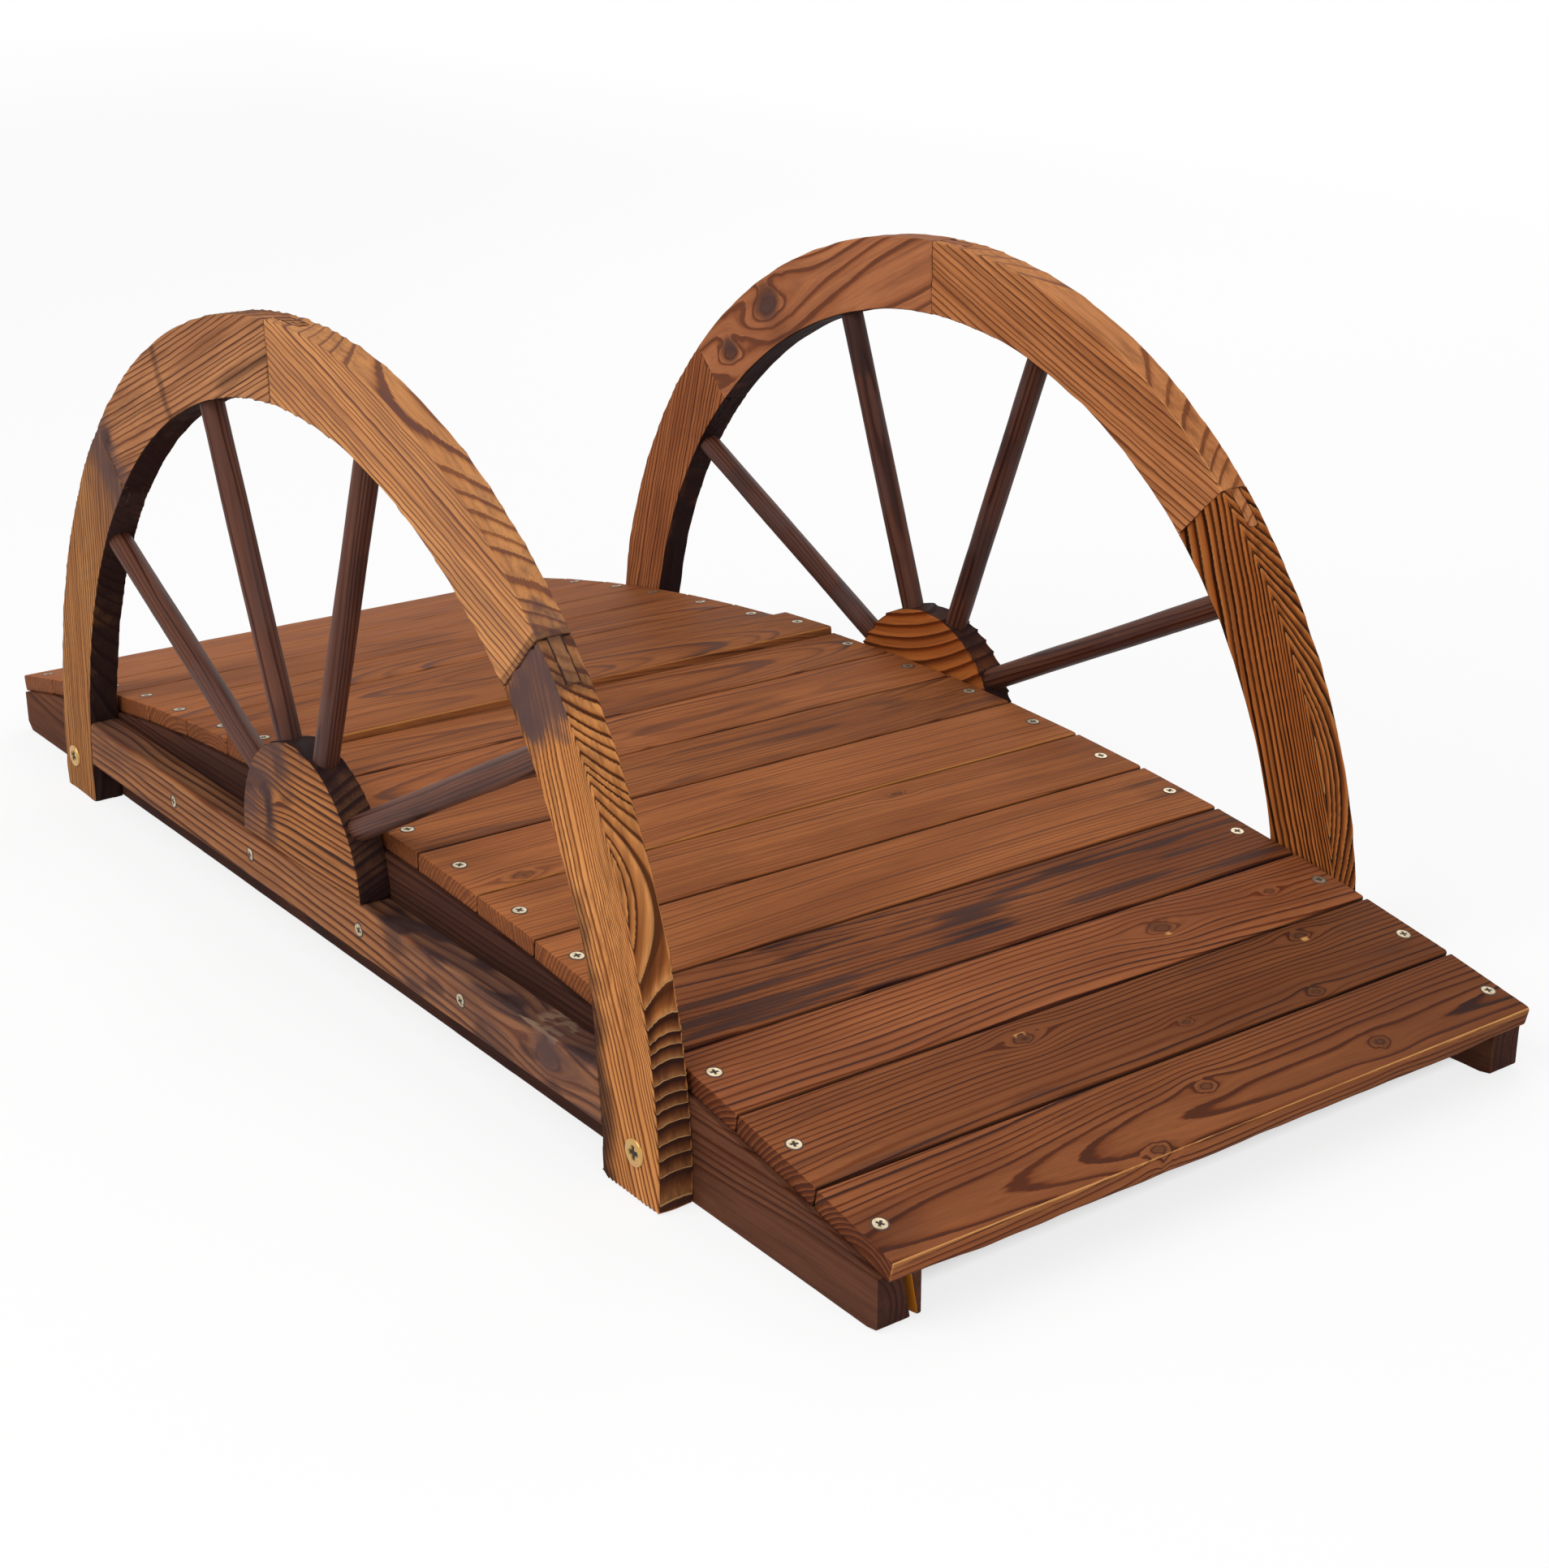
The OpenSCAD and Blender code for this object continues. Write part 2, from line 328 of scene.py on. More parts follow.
def ring_field(points, wood):
    """Place of each point in the tree: along the grain, across and deep, its ring count and its knot."""
    away = points - wood.origin
    along = away @ wood.grain
    across = away @ wood.side
    deep = away @ wood.deep
    across = across + wood.wander * noise_along(along / WANDER_ACROSS, wood.seed)
    deep = deep + wood.wander * noise_along(along / WANDER_DEEP, wood.seed + 1) + wood.slope * along
    deep = deep + wood.bow * (along / BOW_REACH) ** 2
    across = across + wood.sag * (along / BOW_REACH) ** 2
    drift, drift_low, drift_high = wood.drift
    deep = deep - drift * smooth(along, drift_low, drift_high)
    knot = np.zeros(len(points))
    knot_rings = np.zeros(len(points))
    for spot in wood.knots:
        push, heart = knot_push(along, across, spot)
        across = across + push
        knot = np.maximum(knot, fall(heart, 0.75, 1.25))
        knot_rings += KNOT_RINGS * bell(heart, 0, 1.1)
    from_pith = np.stack([across - wood.pith[0], deep - wood.pith[1]], axis=1)
    radius = np.linalg.norm(from_pith, axis=1)
    ring_normal = from_pith / np.maximum(radius, PITH_R)[:, None]
    ripple = np.stack([along, radius, across], axis=1) / RIPPLES
    radius = radius + wood.wave * noise(ripple, wood.seed + 2)
    outside = np.clip(radius - wood.core, 0, None)
    rings = (radius + wood.tighten * outside ** 2 / 2) / wood.spacing
    rings = rings + RING_UNEVEN * noise_along(rings * 0.55, wood.seed + 3) + knot_rings
    facing = ring_normal[:, :1] * wood.side + ring_normal[:, 1:] * wood.deep
    crowd = 1 + wood.tighten * outside
    return np.stack([along, across, deep], axis=1), rings, knot, facing, crowd


# Height of the brushed surface across one ring: soft early wood is low and hard late wood is high
RING_PLACES = (0.0, 0.07, 0.5, 0.8, 0.94, 1.0)
RING_HEIGHTS = (0.25, 0.0, 0.15, 0.65, 1.0, 0.25)
# The height that brushing leaves where it was, and the roughness of every brushed face
KEPT_HEIGHT = 0.75
ROUGHNESS = 0.06 * MM


def brush(points, normals, rings, facing, crowd, wood):
    """Wears the early wood down, most where the rings lie flat in the surface, least where they crowd."""
    height = np.interp(rings % 1, RING_PLACES, RING_HEIGHTS) - KEPT_HEIGHT
    flat = np.abs(np.sum(normals * facing, axis=1)) ** 2
    low, high = wood.relief
    amount = low / crowd + (high - low) * flat
    fine = ROUGHNESS * noise(points / 0.004, wood.seed + 5)
    lumps = wood.lumps * noise(points / 0.016, wood.seed + 6)
    return points + normals * (height * amount + fine + lumps)[:, None], flat


# Pieces

def new_attribute(mesh, name, kind, field, values):
    attribute = mesh.attributes.new(name, kind, "POINT")
    attribute.data.foreach_set(field, np.asarray(values, np.float32).ravel())


# How far each seed moves the fine pattern of its wood
SEED_SHIFT = 0.37


def wood_piece(name, shape, wood, material, marks):
    """A brushed wooden piece that stands for the node of the same name.

    The function marks changes masks, which hold one value for each point: how strongly it is worn, charred,
    darkened with painted shade, grimy and so on. Where rings lie flat in a face, "flat" is the weight of
    their lines, of the painted shade below each ledge and of the painted highlight along each ring's ledge.
    "cut" adds to that weight on any face, and "hold" keeps a point from moving sideways.
    """
    points, quads, edge = shape
    normals = vertex_normals(points, quads)
    place, rings, knot, facing, crowd = ring_field(points, wood)
    masks = {key: np.zeros(len(points)) for key in ("char", "grime", "cut", "hold")}
    masks["knot"] = knot
    masks["wear"] = wood.arris * edge
    masks["flat"] = np.full(len(points), float(wood.heavy))
    masks["tint"] = np.full(len(points), wood.tint)
    marks(masks, points, normals)
    worn, flat = brush(points, normals, rings, facing, crowd, wood)
    worn[:, 1] += masks["hold"] * (points[:, 1] - worn[:, 1])
    mesh = bpy.data.meshes.new(name)
    mesh.from_pydata(worn.tolist(), [], quads.tolist())
    mesh.shade_smooth()
    new_attribute(mesh, "ring", "FLOAT", "value", rings)
    new_attribute(mesh, "wood", "FLOAT_VECTOR", "vector", place + SEED_SHIFT * wood.seed)
    masks_rgba = np.stack([masks[key] for key in ("knot", "wear", "char", "tint")], axis=1)
    new_attribute(mesh, "mask", "FLOAT_COLOR", "color", masks_rgba)
    new_attribute(mesh, "grime", "FLOAT", "value", masks["grime"])
    new_attribute(mesh, "flat", "FLOAT", "value", flat * masks["flat"] + masks["cut"])
    mesh.materials.append(material)
    return add_object(name, mesh, name)


def add_object(name, mesh, node=None):
    piece = bpy.data.objects.new("wood_" + name if node else name, mesh)
    bpy.context.scene.collection.objects.link(piece)
    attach(piece, "root")
    if node:
        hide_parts(node)
    return piece


# Node materials

class Graph:
    """Short words for the nodes of one material."""

    def __init__(self, material):
        material.use_nodes = True
        self.tree = material.node_tree
        self.shader = self.tree.nodes["Principled BSDF"]

    def put(self, value, socket):
        if isinstance(value, bpy.types.NodeSocket):
            self.tree.links.new(value, socket)
        else:
            socket.default_value = value

    def node(self, kind, *values, **settings):
        """A new node with these settings, and these values in its first inputs."""
        node = self.tree.nodes.new("ShaderNode" + kind)
        for key, setting in settings.items():
            setattr(node, key, setting)
        for socket, value in zip(node.inputs, values):
            self.put(value, socket)
        return node

    def math(self, operation, first, second=0.0):
        return self.node("Math", first, second, operation=operation).outputs[0]

    def times(self, first, second):
        return self.math("MULTIPLY", first, second)

    def plus(self, first, second):
        return self.math("ADD", first, second)

    def attribute(self, name, output):
        return self.node("Attribute", attribute_name=name).outputs[output]

    def split(self, color):
        return self.node("SeparateColor", color).outputs

    def noise(self, vector, scale, detail):
        node = self.node("TexNoise")
        node.inputs["Scale"].default_value = 1.0
        node.inputs["Detail"].default_value = detail
        node.inputs["Roughness"].default_value = 0.55
        scaled = self.node("VectorMath", vector, scale, operation="MULTIPLY")
        self.put(scaled.outputs[0], node.inputs["Vector"])
        return node.outputs["Fac"]

    def random(self, value):
        node = self.node("TexWhiteNoise", noise_dimensions="1D")
        self.put(value, node.inputs["W"])
        return node.outputs["Value"]

    def level(self, value, stops):
        """A ramp of plain grey levels."""
        node = self.node("ValToRGB", value)
        elements = node.color_ramp.elements
        while len(elements) < len(stops):
            elements.new(0.5)
        for element, (place, grey) in zip(elements, stops):
            element.position = place
            element.color = (grey, grey, grey, 1)
        return node.outputs[0]

    def mix(self, amount, first, second, blend="MIX"):
        node = self.node("Mix", data_type="RGBA", blend_type=blend)
        self.put(amount, node.inputs[0])
        self.put(first, node.inputs[6])
        self.put(second, node.inputs[7])
        return node.outputs[2]

    def bump(self, height, strength, distance):
        node = self.node("Bump")
        node.inputs["Strength"].default_value = strength
        node.inputs["Distance"].default_value = distance
        self.put(height, node.inputs["Height"])
        return node.outputs[0]


def rgb(red, green, blue):
    return (red, green, blue, 1)


# Black of charred wood; the same black is also painted as shade on slot walls and on the beams' middles.
CHAR_AND_SHADE_COLOR = rgb(0.018, 0.010, 0.011)
KNOT_COLOR = rgb(0.060, 0.026, 0.016)
GRIME_COLOR = rgb(0.098, 0.055, 0.050)
# Darkness across one ring where it lies flat in a heavily charred face; it is partly char and partly painted
# shade below each ring's ledge
SLOPE_PROFILE = [(0.05, 0.08), (0.20, 0.38), (0.45, 0.70), (0.72, 1.0), (0.965, 1.0), (1.0, 0.1)]
# Shares of the early wood's red, green and blue that are left where it is scorched, halfway to the late wood;
# the same colours also paint the shade below each ledge
SCORCH = (0.46, 0.33, 0.27)
# Share of their darkness that lines lose on a face whose flat value is -1
FAINT_LOSS = 0.6


def ring_lines(g, ring, flat, fibre, streak, profile, least, heavy, jitter):
    """How far through its ring each place is, and how late and dark its wood is; where rings lie flat, part
    of the darkness is painted shade below each ledge.
    """
    shift = g.plus(g.times(fibre, 0.14 * jitter), g.times(streak, 0.2 * jitter))
    count = g.plus(ring, shift)
    part = g.math("FRACT", count)
    strength = g.level(g.random(g.math("FLOOR", count)), [(0.0, least), (1.0, 1.0)])
    lines = g.times(g.level(part, profile), strength)
    faint = g.plus(g.times(g.math("MINIMUM", flat, 0.0), FAINT_LOSS), 1.0)
    weight = g.times(flat, heavy)
    slope = g.times(g.level(part, SLOPE_PROFILE), weight)
    return part, g.math("MAXIMUM", g.times(lines, faint), slope)


def wood_surface(g, lateness, fibre, rough, gloss, bump):
    """Roughness, sheen and fine relief; late wood is smoother and stands higher."""
    low, high = rough
    roughness = g.plus(g.times(lateness, low - high), high)
    roughness = g.plus(roughness, g.times(g.math("SUBTRACT", fibre, 0.5), 0.2))
    g.put(roughness, g.shader.inputs["Roughness"])
    g.shader.inputs["Specular IOR Level"].default_value = gloss
    height = g.plus(g.times(lateness, 0.6), g.times(fibre, 0.5))
    g.put(g.bump(height, bump, 0.5 * MM), g.shader.inputs["Normal"])


def wood_material(name, early, middle, late, raw, profile, least=0.55, heavy=0.0, jitter=1.0, streaks=0.25,
                  veil=0.5, crest=0.0, scorch=SCORCH, rough=(0.42, 0.62), gloss=0.012, bump=0.35):
    """Brushed wood whose lines follow the rings that its mesh carries."""
    material = bpy.data.materials.new(name)
    g = Graph(material)
    ring = g.attribute("ring", "Fac")
    place = g.attribute("wood", "Vector")
    knot, wear, char = g.split(g.attribute("mask", "Color"))
    tint = g.attribute("mask", "Alpha")
    grime = g.attribute("grime", "Fac")
    flat = g.attribute("flat", "Fac")

    fibre = g.noise(place, (45, 1500, 1500), 3)
    streak = g.noise(place, (9, 260, 260), 3)
    cloud = g.noise(place, (5, 22, 22), 2)

    part, lateness = ring_lines(g, ring, flat, fibre, streak, profile, least, heavy, jitter)
    ground = g.mix(g.level(cloud, [(0.3, 0.0), (0.7, 1.0)]), early, middle)
    scorched = rgb(*(share * value for share, value in zip(scorch, early)))
    color = g.mix(g.level(lateness, [(0.0, 0.0), (0.5, 1.0)]), ground, scorched)
    color = g.mix(g.level(lateness, [(0.45, 0.0), (1.0, 1.0)]), color, late)
    # Painted highlight: a thin line of raw wood colour along each ring's ledge, where rings lie flat, stands
    # for the lit edge of the ledge.
    bare_highlight = g.level(part, [(0.93, 0.0), (0.965, 1.0), (0.99, 1.0), (1.0, 0.0)])
    bare_highlight = g.times(bare_highlight, g.times(flat, crest))
    color = g.mix(1.0, color, g.level(fibre, [(0.2, 1 - streaks), (0.75, 1.0)]), "MULTIPLY")
    color = g.mix(g.level(streak, [(0.42, 0.0), (0.72, veil)]), color, late)
    color = g.mix(1.0, color, g.level(tint, [(0.0, 0.45), (0.5, 0.82), (1.0, 1.0)]), "MULTIPLY")

    ragged = g.plus(g.times(fibre, 0.5), g.times(cloud, 0.7))
    color = g.mix(g.times(knot, 0.55), color, KNOT_COLOR)
    # Charring, and the painted shade that shares its mask, blacken the colour.
    burnt_and_shaded = g.level(g.times(char, g.plus(ragged, 0.75)), [(0.25, 0.0), (0.95, 0.97)])
    color = g.mix(burnt_and_shaded, color, CHAR_AND_SHADE_COLOR)
    color = g.mix(bare_highlight, color, raw)
    worn = g.level(g.times(wear, ragged), [(0.36, 0.0), (0.62, 0.9)])
    color = g.mix(worn, color, raw)
    smear = g.plus(g.times(streak, 0.66), g.times(fibre, 0.48))
    grimy = g.level(g.times(grime, smear), [(0.12, 0.0), (0.48, 0.85), (0.9, 0.97)])
    color = g.mix(grimy, color, GRIME_COLOR)
    g.put(color, g.shader.inputs["Base Color"])

    wood_surface(g, lateness, fibre, rough, gloss, bump)
    return material


# Darkness across one ring, for each kind of line
LINE_PROFILE = [(0.0, 0.3), (0.04, 0.0), (0.55, 0.05), (0.72, 0.35), (0.81, 1.0), (0.97, 1.0), (1.0, 0.3)]
SOFT_PROFILE = [(0.0, 0.35), (0.08, 0.0), (0.45, 0.06), (0.70, 0.45), (0.85, 1.0), (0.96, 0.9), (1.0, 0.35)]
BOLD_PROFILE = [(0.0, 0.3), (0.04, 0.0), (0.42, 0.06), (0.62, 0.4), (0.74, 1.0), (0.97, 1.0), (1.0, 0.3)]
WIDE_PROFILE = [(0.0, 0.4), (0.05, 0.0), (0.30, 0.08), (0.48, 0.5), (0.62, 1.0), (0.97, 1.0), (1.0, 0.4)]
TERRACE_PROFILE = [(0.0, 1.0), (0.05, 0.9), (0.22, 0.4), (0.6, 0.08), (0.9, 0.0), (0.97, 0.1), (1.0, 1.0)]
RIM_PROFILES = {(NEAR, 1): BOLD_PROFILE, (FAR, 1): WIDE_PROFILE}
# Weight of the broad dark lines where rings lie flat in the surface, partly char and partly painted shade
# below each ledge
FLAT_LINES = 0.85
# crest is the strength of the painted highlight along each ring's ledge.
STRONG_LINES = dict(least=0.85, crest=0.4, jitter=0.3, streaks=0.18)
MILD_LINES = dict(least=0.65, crest=0.5, scorch=(0.55, 0.44, 0.40))

# Early, middle and late wood of each felloe
RIM_COLORS = {
    (NEAR, 1): (rgb(0.78, 0.345, 0.112), rgb(0.58, 0.222, 0.068), rgb(0.050, 0.015, 0.008)),
    (NEAR, 2): (rgb(0.72, 0.335, 0.125), rgb(0.54, 0.220, 0.080), rgb(0.115, 0.050, 0.046)),
    (NEAR, 3): (rgb(0.66, 0.300, 0.130), rgb(0.46, 0.190, 0.085), rgb(0.075, 0.026, 0.017)),
    (NEAR, 4): (rgb(0.72, 0.335, 0.120), rgb(0.54, 0.215, 0.072), rgb(0.075, 0.022, 0.011)),
    (FAR, 1): (rgb(0.74, 0.270, 0.070), rgb(0.50, 0.150, 0.036), rgb(0.022, 0.006, 0.003)),
    (FAR, 2): (rgb(0.70, 0.290, 0.110), rgb(0.52, 0.190, 0.065), rgb(0.110, 0.038, 0.020)),
    (FAR, 3): (rgb(0.60, 0.235, 0.100), rgb(0.44, 0.160, 0.070), rgb(0.170, 0.062, 0.036)),
    (FAR, 4): (rgb(0.58, 0.215, 0.080), rgb(0.42, 0.140, 0.055), rgb(0.070, 0.020, 0.012)),
}
RIM_RAW = {NEAR: rgb(0.84, 0.50, 0.21), FAR: rgb(0.80, 0.44, 0.16)}
RIM_WOOD = {}
for (rim_side, rim_part), rim_colors in RIM_COLORS.items():
    RIM_WOOD[rim_side, rim_part] = wood_material(
        "%s_rim_wood_%d" % ("near" if rim_side == NEAR else "far", rim_part), *rim_colors, RIM_RAW[rim_side],
        profile=RIM_PROFILES.get((rim_side, rim_part), LINE_PROFILE), heavy=FLAT_LINES,
        **(STRONG_LINES if rim_part == 1 else MILD_LINES))
DECK_WOOD = wood_material(
    "deck_wood", rgb(0.42, 0.142, 0.052), rgb(0.29, 0.092, 0.036), rgb(0.052, 0.020, 0.015),
    rgb(0.62, 0.30, 0.10), profile=LINE_PROFILE, least=0.35, veil=0.25, gloss=0.025, heavy=FLAT_LINES)
PLAIN_DECK_WOOD = wood_material(
    "plain_deck_wood", rgb(0.53, 0.185, 0.062), rgb(0.36, 0.115, 0.040), rgb(0.130, 0.045, 0.023),
    rgb(0.50, 0.22, 0.06), profile=SOFT_PROFILE, least=0.1, veil=0.45, gloss=0.025, heavy=FLAT_LINES,
    scorch=(0.60, 0.52, 0.48))
RAIL_WOOD = wood_material(
    "rail_wood", rgb(0.52, 0.225, 0.095), rgb(0.34, 0.145, 0.074), rgb(0.060, 0.029, 0.025),
    rgb(0.30, 0.19, 0.115), profile=SOFT_PROFILE, least=0.6)
HUB_WOOD = {
    NEAR: wood_material(
        "near_hub_wood", rgb(0.58, 0.235, 0.082), rgb(0.38, 0.150, 0.062), rgb(0.045, 0.022, 0.018),
        rgb(0.66, 0.34, 0.13), profile=BOLD_PROFILE, least=0.7),
    FAR: wood_material(
        "far_hub_wood", rgb(0.60, 0.180, 0.040), rgb(0.46, 0.130, 0.032), rgb(0.100, 0.030, 0.014),
        rgb(0.66, 0.34, 0.13), profile=TERRACE_PROFILE, least=0.8),
}
SPOKE_WOOD = wood_material(
    "spoke_wood", rgb(0.20, 0.074, 0.042), rgb(0.115, 0.048, 0.035), rgb(0.026, 0.013, 0.013),
    rgb(0.36, 0.15, 0.07), profile=SOFT_PROFILE, least=0.3, rough=(0.36, 0.5), bump=0.25, gloss=0.10)
BEAM_WOOD = wood_material(
    "beam_wood", rgb(0.21, 0.080, 0.042), rgb(0.125, 0.050, 0.031), rgb(0.056, 0.024, 0.017),
    rgb(0.60, 0.20, 0.018), profile=SOFT_PROFILE, least=0.1)


# Deck boards

def plank_frame(node):
    """Middle of a board, its width direction, its upward normal and its width and thickness."""
    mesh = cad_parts[node].data
    normal = np.zeros(3)
    for face in mesh.polygons:
        if face.normal.z > 0.9:
            normal += face.area * np.array(face.normal)
    up = unit([normal[0], 0, normal[2]])
    wide = np.array([up[2], 0, -up[0]])
    points = np.array([v.co for v in mesh.vertices])
    spans = np.stack([points @ wide, points @ up], axis=1)
    lowest = spans.min(axis=0)
    highest = spans.max(axis=0)
    middle = (lowest + highest) / 2
    return middle[0] * wide + middle[1] * up, wide, up, highest - lowest


# Rows along, across and deep; the boards nearest the front take closer rows
FRONT_STEPS = (3.6 * MM, 1.6 * MM, 1.8 * MM)
MIDDLE_STEPS = (6.0 * MM, 1.7 * MM, 2.2 * MM)
BACK_STEPS = (9.0 * MM, 2.0 * MM, 2.6 * MM)
LAST_FRONT = 3
LAST_MIDDLE = 7
PLANK_EDGES = (PLANK_END_EDGE, PLANK_EDGE, PLANK_EDGE)
PLANK_SPACING = 3.7 * MM
PLANK_RELIEF = (0.04 * MM, 0.35 * MM)
# For some boards: how far across its middle and how deep the pith lies, its slope and bow, and the tint
PLANK_LOOKS = {
    1: (0.016, -0.022, 0.026, 0.004, 0.40),
    2: (0.075, -0.050, 0.010, 0.004, 0.27),
    3: (0.055, -0.042, -0.020, 0.004, 0.95),
    4: (-0.060, -0.040, 0.035, 0.006, 0.46),
    5: (0.130, -0.060, 0.000, 0.003, 0.78),
    6: (-0.140, -0.050, 0.020, 0.004, 0.74),
    7: (0.120, -0.080, 0.020, 0.004, 0.95),
    8: (-0.080, -0.060, -0.030, 0.006, 0.47),
    9: (0.010, -0.040, 0.050, 0.006, 0.90),
    10: (-0.005, -0.036, -0.045, 0.005, 0.55),
    11: (0.010, -0.040, -0.050, 0.006, 0.50),
}
# Knots: board, place across the bridge and along it from the board's middle, and radius, in mm
PLANK_KNOTS = (
    (1, 145, 16, 5), (1, 6, -3, 4.5), (1, -65, 30, 4.5), (2, 189, -24, 5), (2, -65, -18, 5.5),
    (2, 43, 18, 3), (2, 148, 31, 4), (3, 108, -3, 7), (3, 213, -6, 3.5), (6, 76, -18, 4), (7, -228, 26, 6),
)


def plank_knots(number):
    knots = []
    for board, across_bridge, along_bridge, radius in PLANK_KNOTS:
        if board == number:
            knots.append((-across_bridge * MM, along_bridge * MM, radius * MM))
    return tuple(knots)


# Boards with strong lines; the others are plainer
LINED_PLANKS = (1, 2, 3, 4)
# Boards whose front edges are worn to bare wood, and small bare chips: board, places and reach as for knots
GOLDEN_FRONTS = (1, 7, 11)
GOLDEN_WEAR = 0.6
RAW_CHIPS = ((2, 189, -19, 4), (2, -65, -23, 4), (3, 108, 5, 3), (12, -259, -30, 8), (1, 6, 1, 3))
# How strongly dark streaks stain the boards, and the boards that are stained otherwise
STAIN = 0.5
PLANK_STAINS = {1: 0.35, 2: 0.55, 3: 0.25, 4: 0.85, 5: 0.35, 6: 0.4, 7: 0.3, 8: 0.65, 9: 0.55}


def plank_stains(masks, number, points, away, wide, top):
    """Scorched patches and dark streaks along a board's upper face."""
    scorch = noise(points / np.array([0.05, 0.13, 0.05]), 90 + number)
    masks["char"] += 0.3 * smooth(scorch, 0.45, 0.9) * top
    place = np.stack([away @ wide, 0.08 * away[:, 1]], axis=1)
    streaks = 0.9 * noise(place / 0.009, 110 + number) + 0.8 * noise(place / 0.0038, 130 + number)
    stain = PLANK_STAINS.get(number, STAIN) * smooth(streaks, 0.0, 1.0) * top
    masks["grime"] += 0.5 * stain
    masks["char"] += 0.62 * stain


def plank_chips(masks, number, points, away, wide, top):
    """Small bare chips in a board's upper face."""
    fleck = smooth(noise(points / 0.0028, 150 + number), -0.2, 0.3)
    for board, y, x, reach in RAW_CHIPS:
        if board == number:
            chip = bell(away[:, 1], y * MM, 1.6 * reach * MM) * bell(away @ wide, x * MM, 0.8 * reach * MM)
            masks["wear"] += 1.4 * chip * fleck * top


def plank_marks(number, middle, wide, up):
    def marks(masks, points, normals):
        away = points - middle
        top = np.clip(normals @ up, 0, 1)
        end = smooth(np.abs(normals[:, 1]), 0.6, 0.9)
        sides = smooth(np.abs(normals @ wide), 0.6, 0.95)
        patchy = noise(points / np.array([0.03, 0.09, 0.03]), 70 + number)
        masks["tint"] -= 0.2 * away[:, 1] / BEAM_OUTER_Y
        masks["wear"] += 0.35 * smooth(patchy, 0.35, 0.8) * masks["wear"]
        masks["cut"] += 0.85 * end
        masks["char"] += 0.30 * end + 0.35 * np.clip(-normals @ up, 0, 1)
        plank_stains(masks, number, points, away, wide, top)
        if number in GOLDEN_FRONTS:
            golden = smooth(normals @ wide, 0.25, 0.6) * smooth(away @ up, -16 * MM, 4 * MM)
            masks["wear"] += GOLDEN_WEAR * golden
            sides = sides * (1 - golden)
        masks["char"] += 0.5 * sides
        plank_chips(masks, number, points, away, wide, top)
    return marks


# The front board hangs a little lower between the beams
FRONT_SAG = 2.4 * MM
FREE_HALF = 245 * MM


def hang_down(points, thick):
    """Draws a board's underside down between the beams."""
    free = smooth(FREE_HALF - np.abs(points[:, 0]), 0, 40 * MM)
    below = np.clip(-2 * points[:, 2] / thick, 0, 1)
    uneven = 1 + 0.3 * noise_along(points[:, 0] / 0.02, 23)
    hung = points.copy()
    hung[:, 2] -= FRONT_SAG * free * below * uneven
    return hung


def plank_steps(number):
    if number <= LAST_FRONT:
        return FRONT_STEPS
    return MIDDLE_STEPS if number <= LAST_MIDDLE else BACK_STEPS


def any_look(number):
    """A look for a board that has none of its own."""
    rng = np.random.default_rng(300 + number)
    return (rng.uniform(-0.12, 0.12), rng.uniform(-0.07, -0.03), rng.uniform(-0.04, 0.04), 0.005,
            rng.uniform(0.55, 0.75))


def plank(number):
    node = "deck_plank_%02d" % number
    middle, wide, up, (width, thick) = plank_frame(node)
    low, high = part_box(node)
    size = (high.y - low.y, width, thick)
    points, quads, edge = rounded_block(size, PLANK_EDGES, plank_steps(number))
    if number == 1:
        points = hang_down(points, thick)
    grain = np.array([0, -1, 0])
    placed = middle + points[:, :1] * grain + points[:, 1:2] * wide + points[:, 2:] * up
    across, deep, slope, bow, tint = PLANK_LOOKS.get(number, any_look(number))
    wood = Wood(middle, grain, wide, (across, deep), PLANK_SPACING, 300 + 10 * number, slope=slope, bow=bow,
                tint=tint, heavy=0, wander=4 * MM, wave=1.2 * MM, relief=PLANK_RELIEF,
                knots=plank_knots(number))
    material = DECK_WOOD if number in LINED_PLANKS else PLAIN_DECK_WOOD
    marks = plank_marks(number, middle, wide, up)
    return wood_piece(node, (placed, quads, edge), wood, material, marks)


# Half wheels

def rim_centre(side, k):
    """Centre of the circle that felloe k follows; the near front felloe leans in about its joint."""
    centre = np.array([WHEEL_X, WHEEL_Z])
    if (side, k) != (NEAR, 1):
        return centre
    joint = math.radians(JOINT_DEGREES[side][0])
    pivot = centre + RIM_MID * np.array([math.cos(joint), math.sin(joint)])
    back = centre - pivot
    cos = math.cos(FOOT_LEAN)
    sin = math.sin(FOOT_LEAN)
    return pivot + np.array([back[0] * cos + back[1] * sin, back[1] * cos - back[0] * sin])


def felloe_ends(side, k):
    """Angle of a felloe's two ends at a given radius, as functions."""
    joints = [math.radians(degrees) for degrees in JOINT_DEGREES[side]]
    centre = rim_centre(side, k)

    def ground(radius):
        return np.arcsin(-centre[1] / radius)

    def joint(index):
        def at(radius):
            if (side, k) == (NEAR, 1):
                return joints[index] - FOOT_LEAN + (radius - RIM_MID) * math.tan(FOOT_LEAN) / radius
            return joints[index] + 0 * radius
        return at

    low = ground if k == 1 else joint(k - 2)
    if k == 4:
        return low, lambda radius: math.pi - ground(radius)
    return low, joint(k - 1)


def bend(block, centre, middle_y, low, high):
    """Wraps a straight block round the rim between the angles low and high."""
    points, quads, edge = block
    length = points[:, 0].max() - points[:, 0].min()
    share = (points[:, 0] - points[:, 0].min()) / length
    radius = RIM_MID + points[:, 1]
    angle = low(radius) + share * (high(radius) - low(radius))
    bent = np.stack([centre[0] + radius * np.cos(angle), middle_y + points[:, 2],
                     centre[1] + radius * np.sin(angle)], axis=1)
    return bent, quads, edge


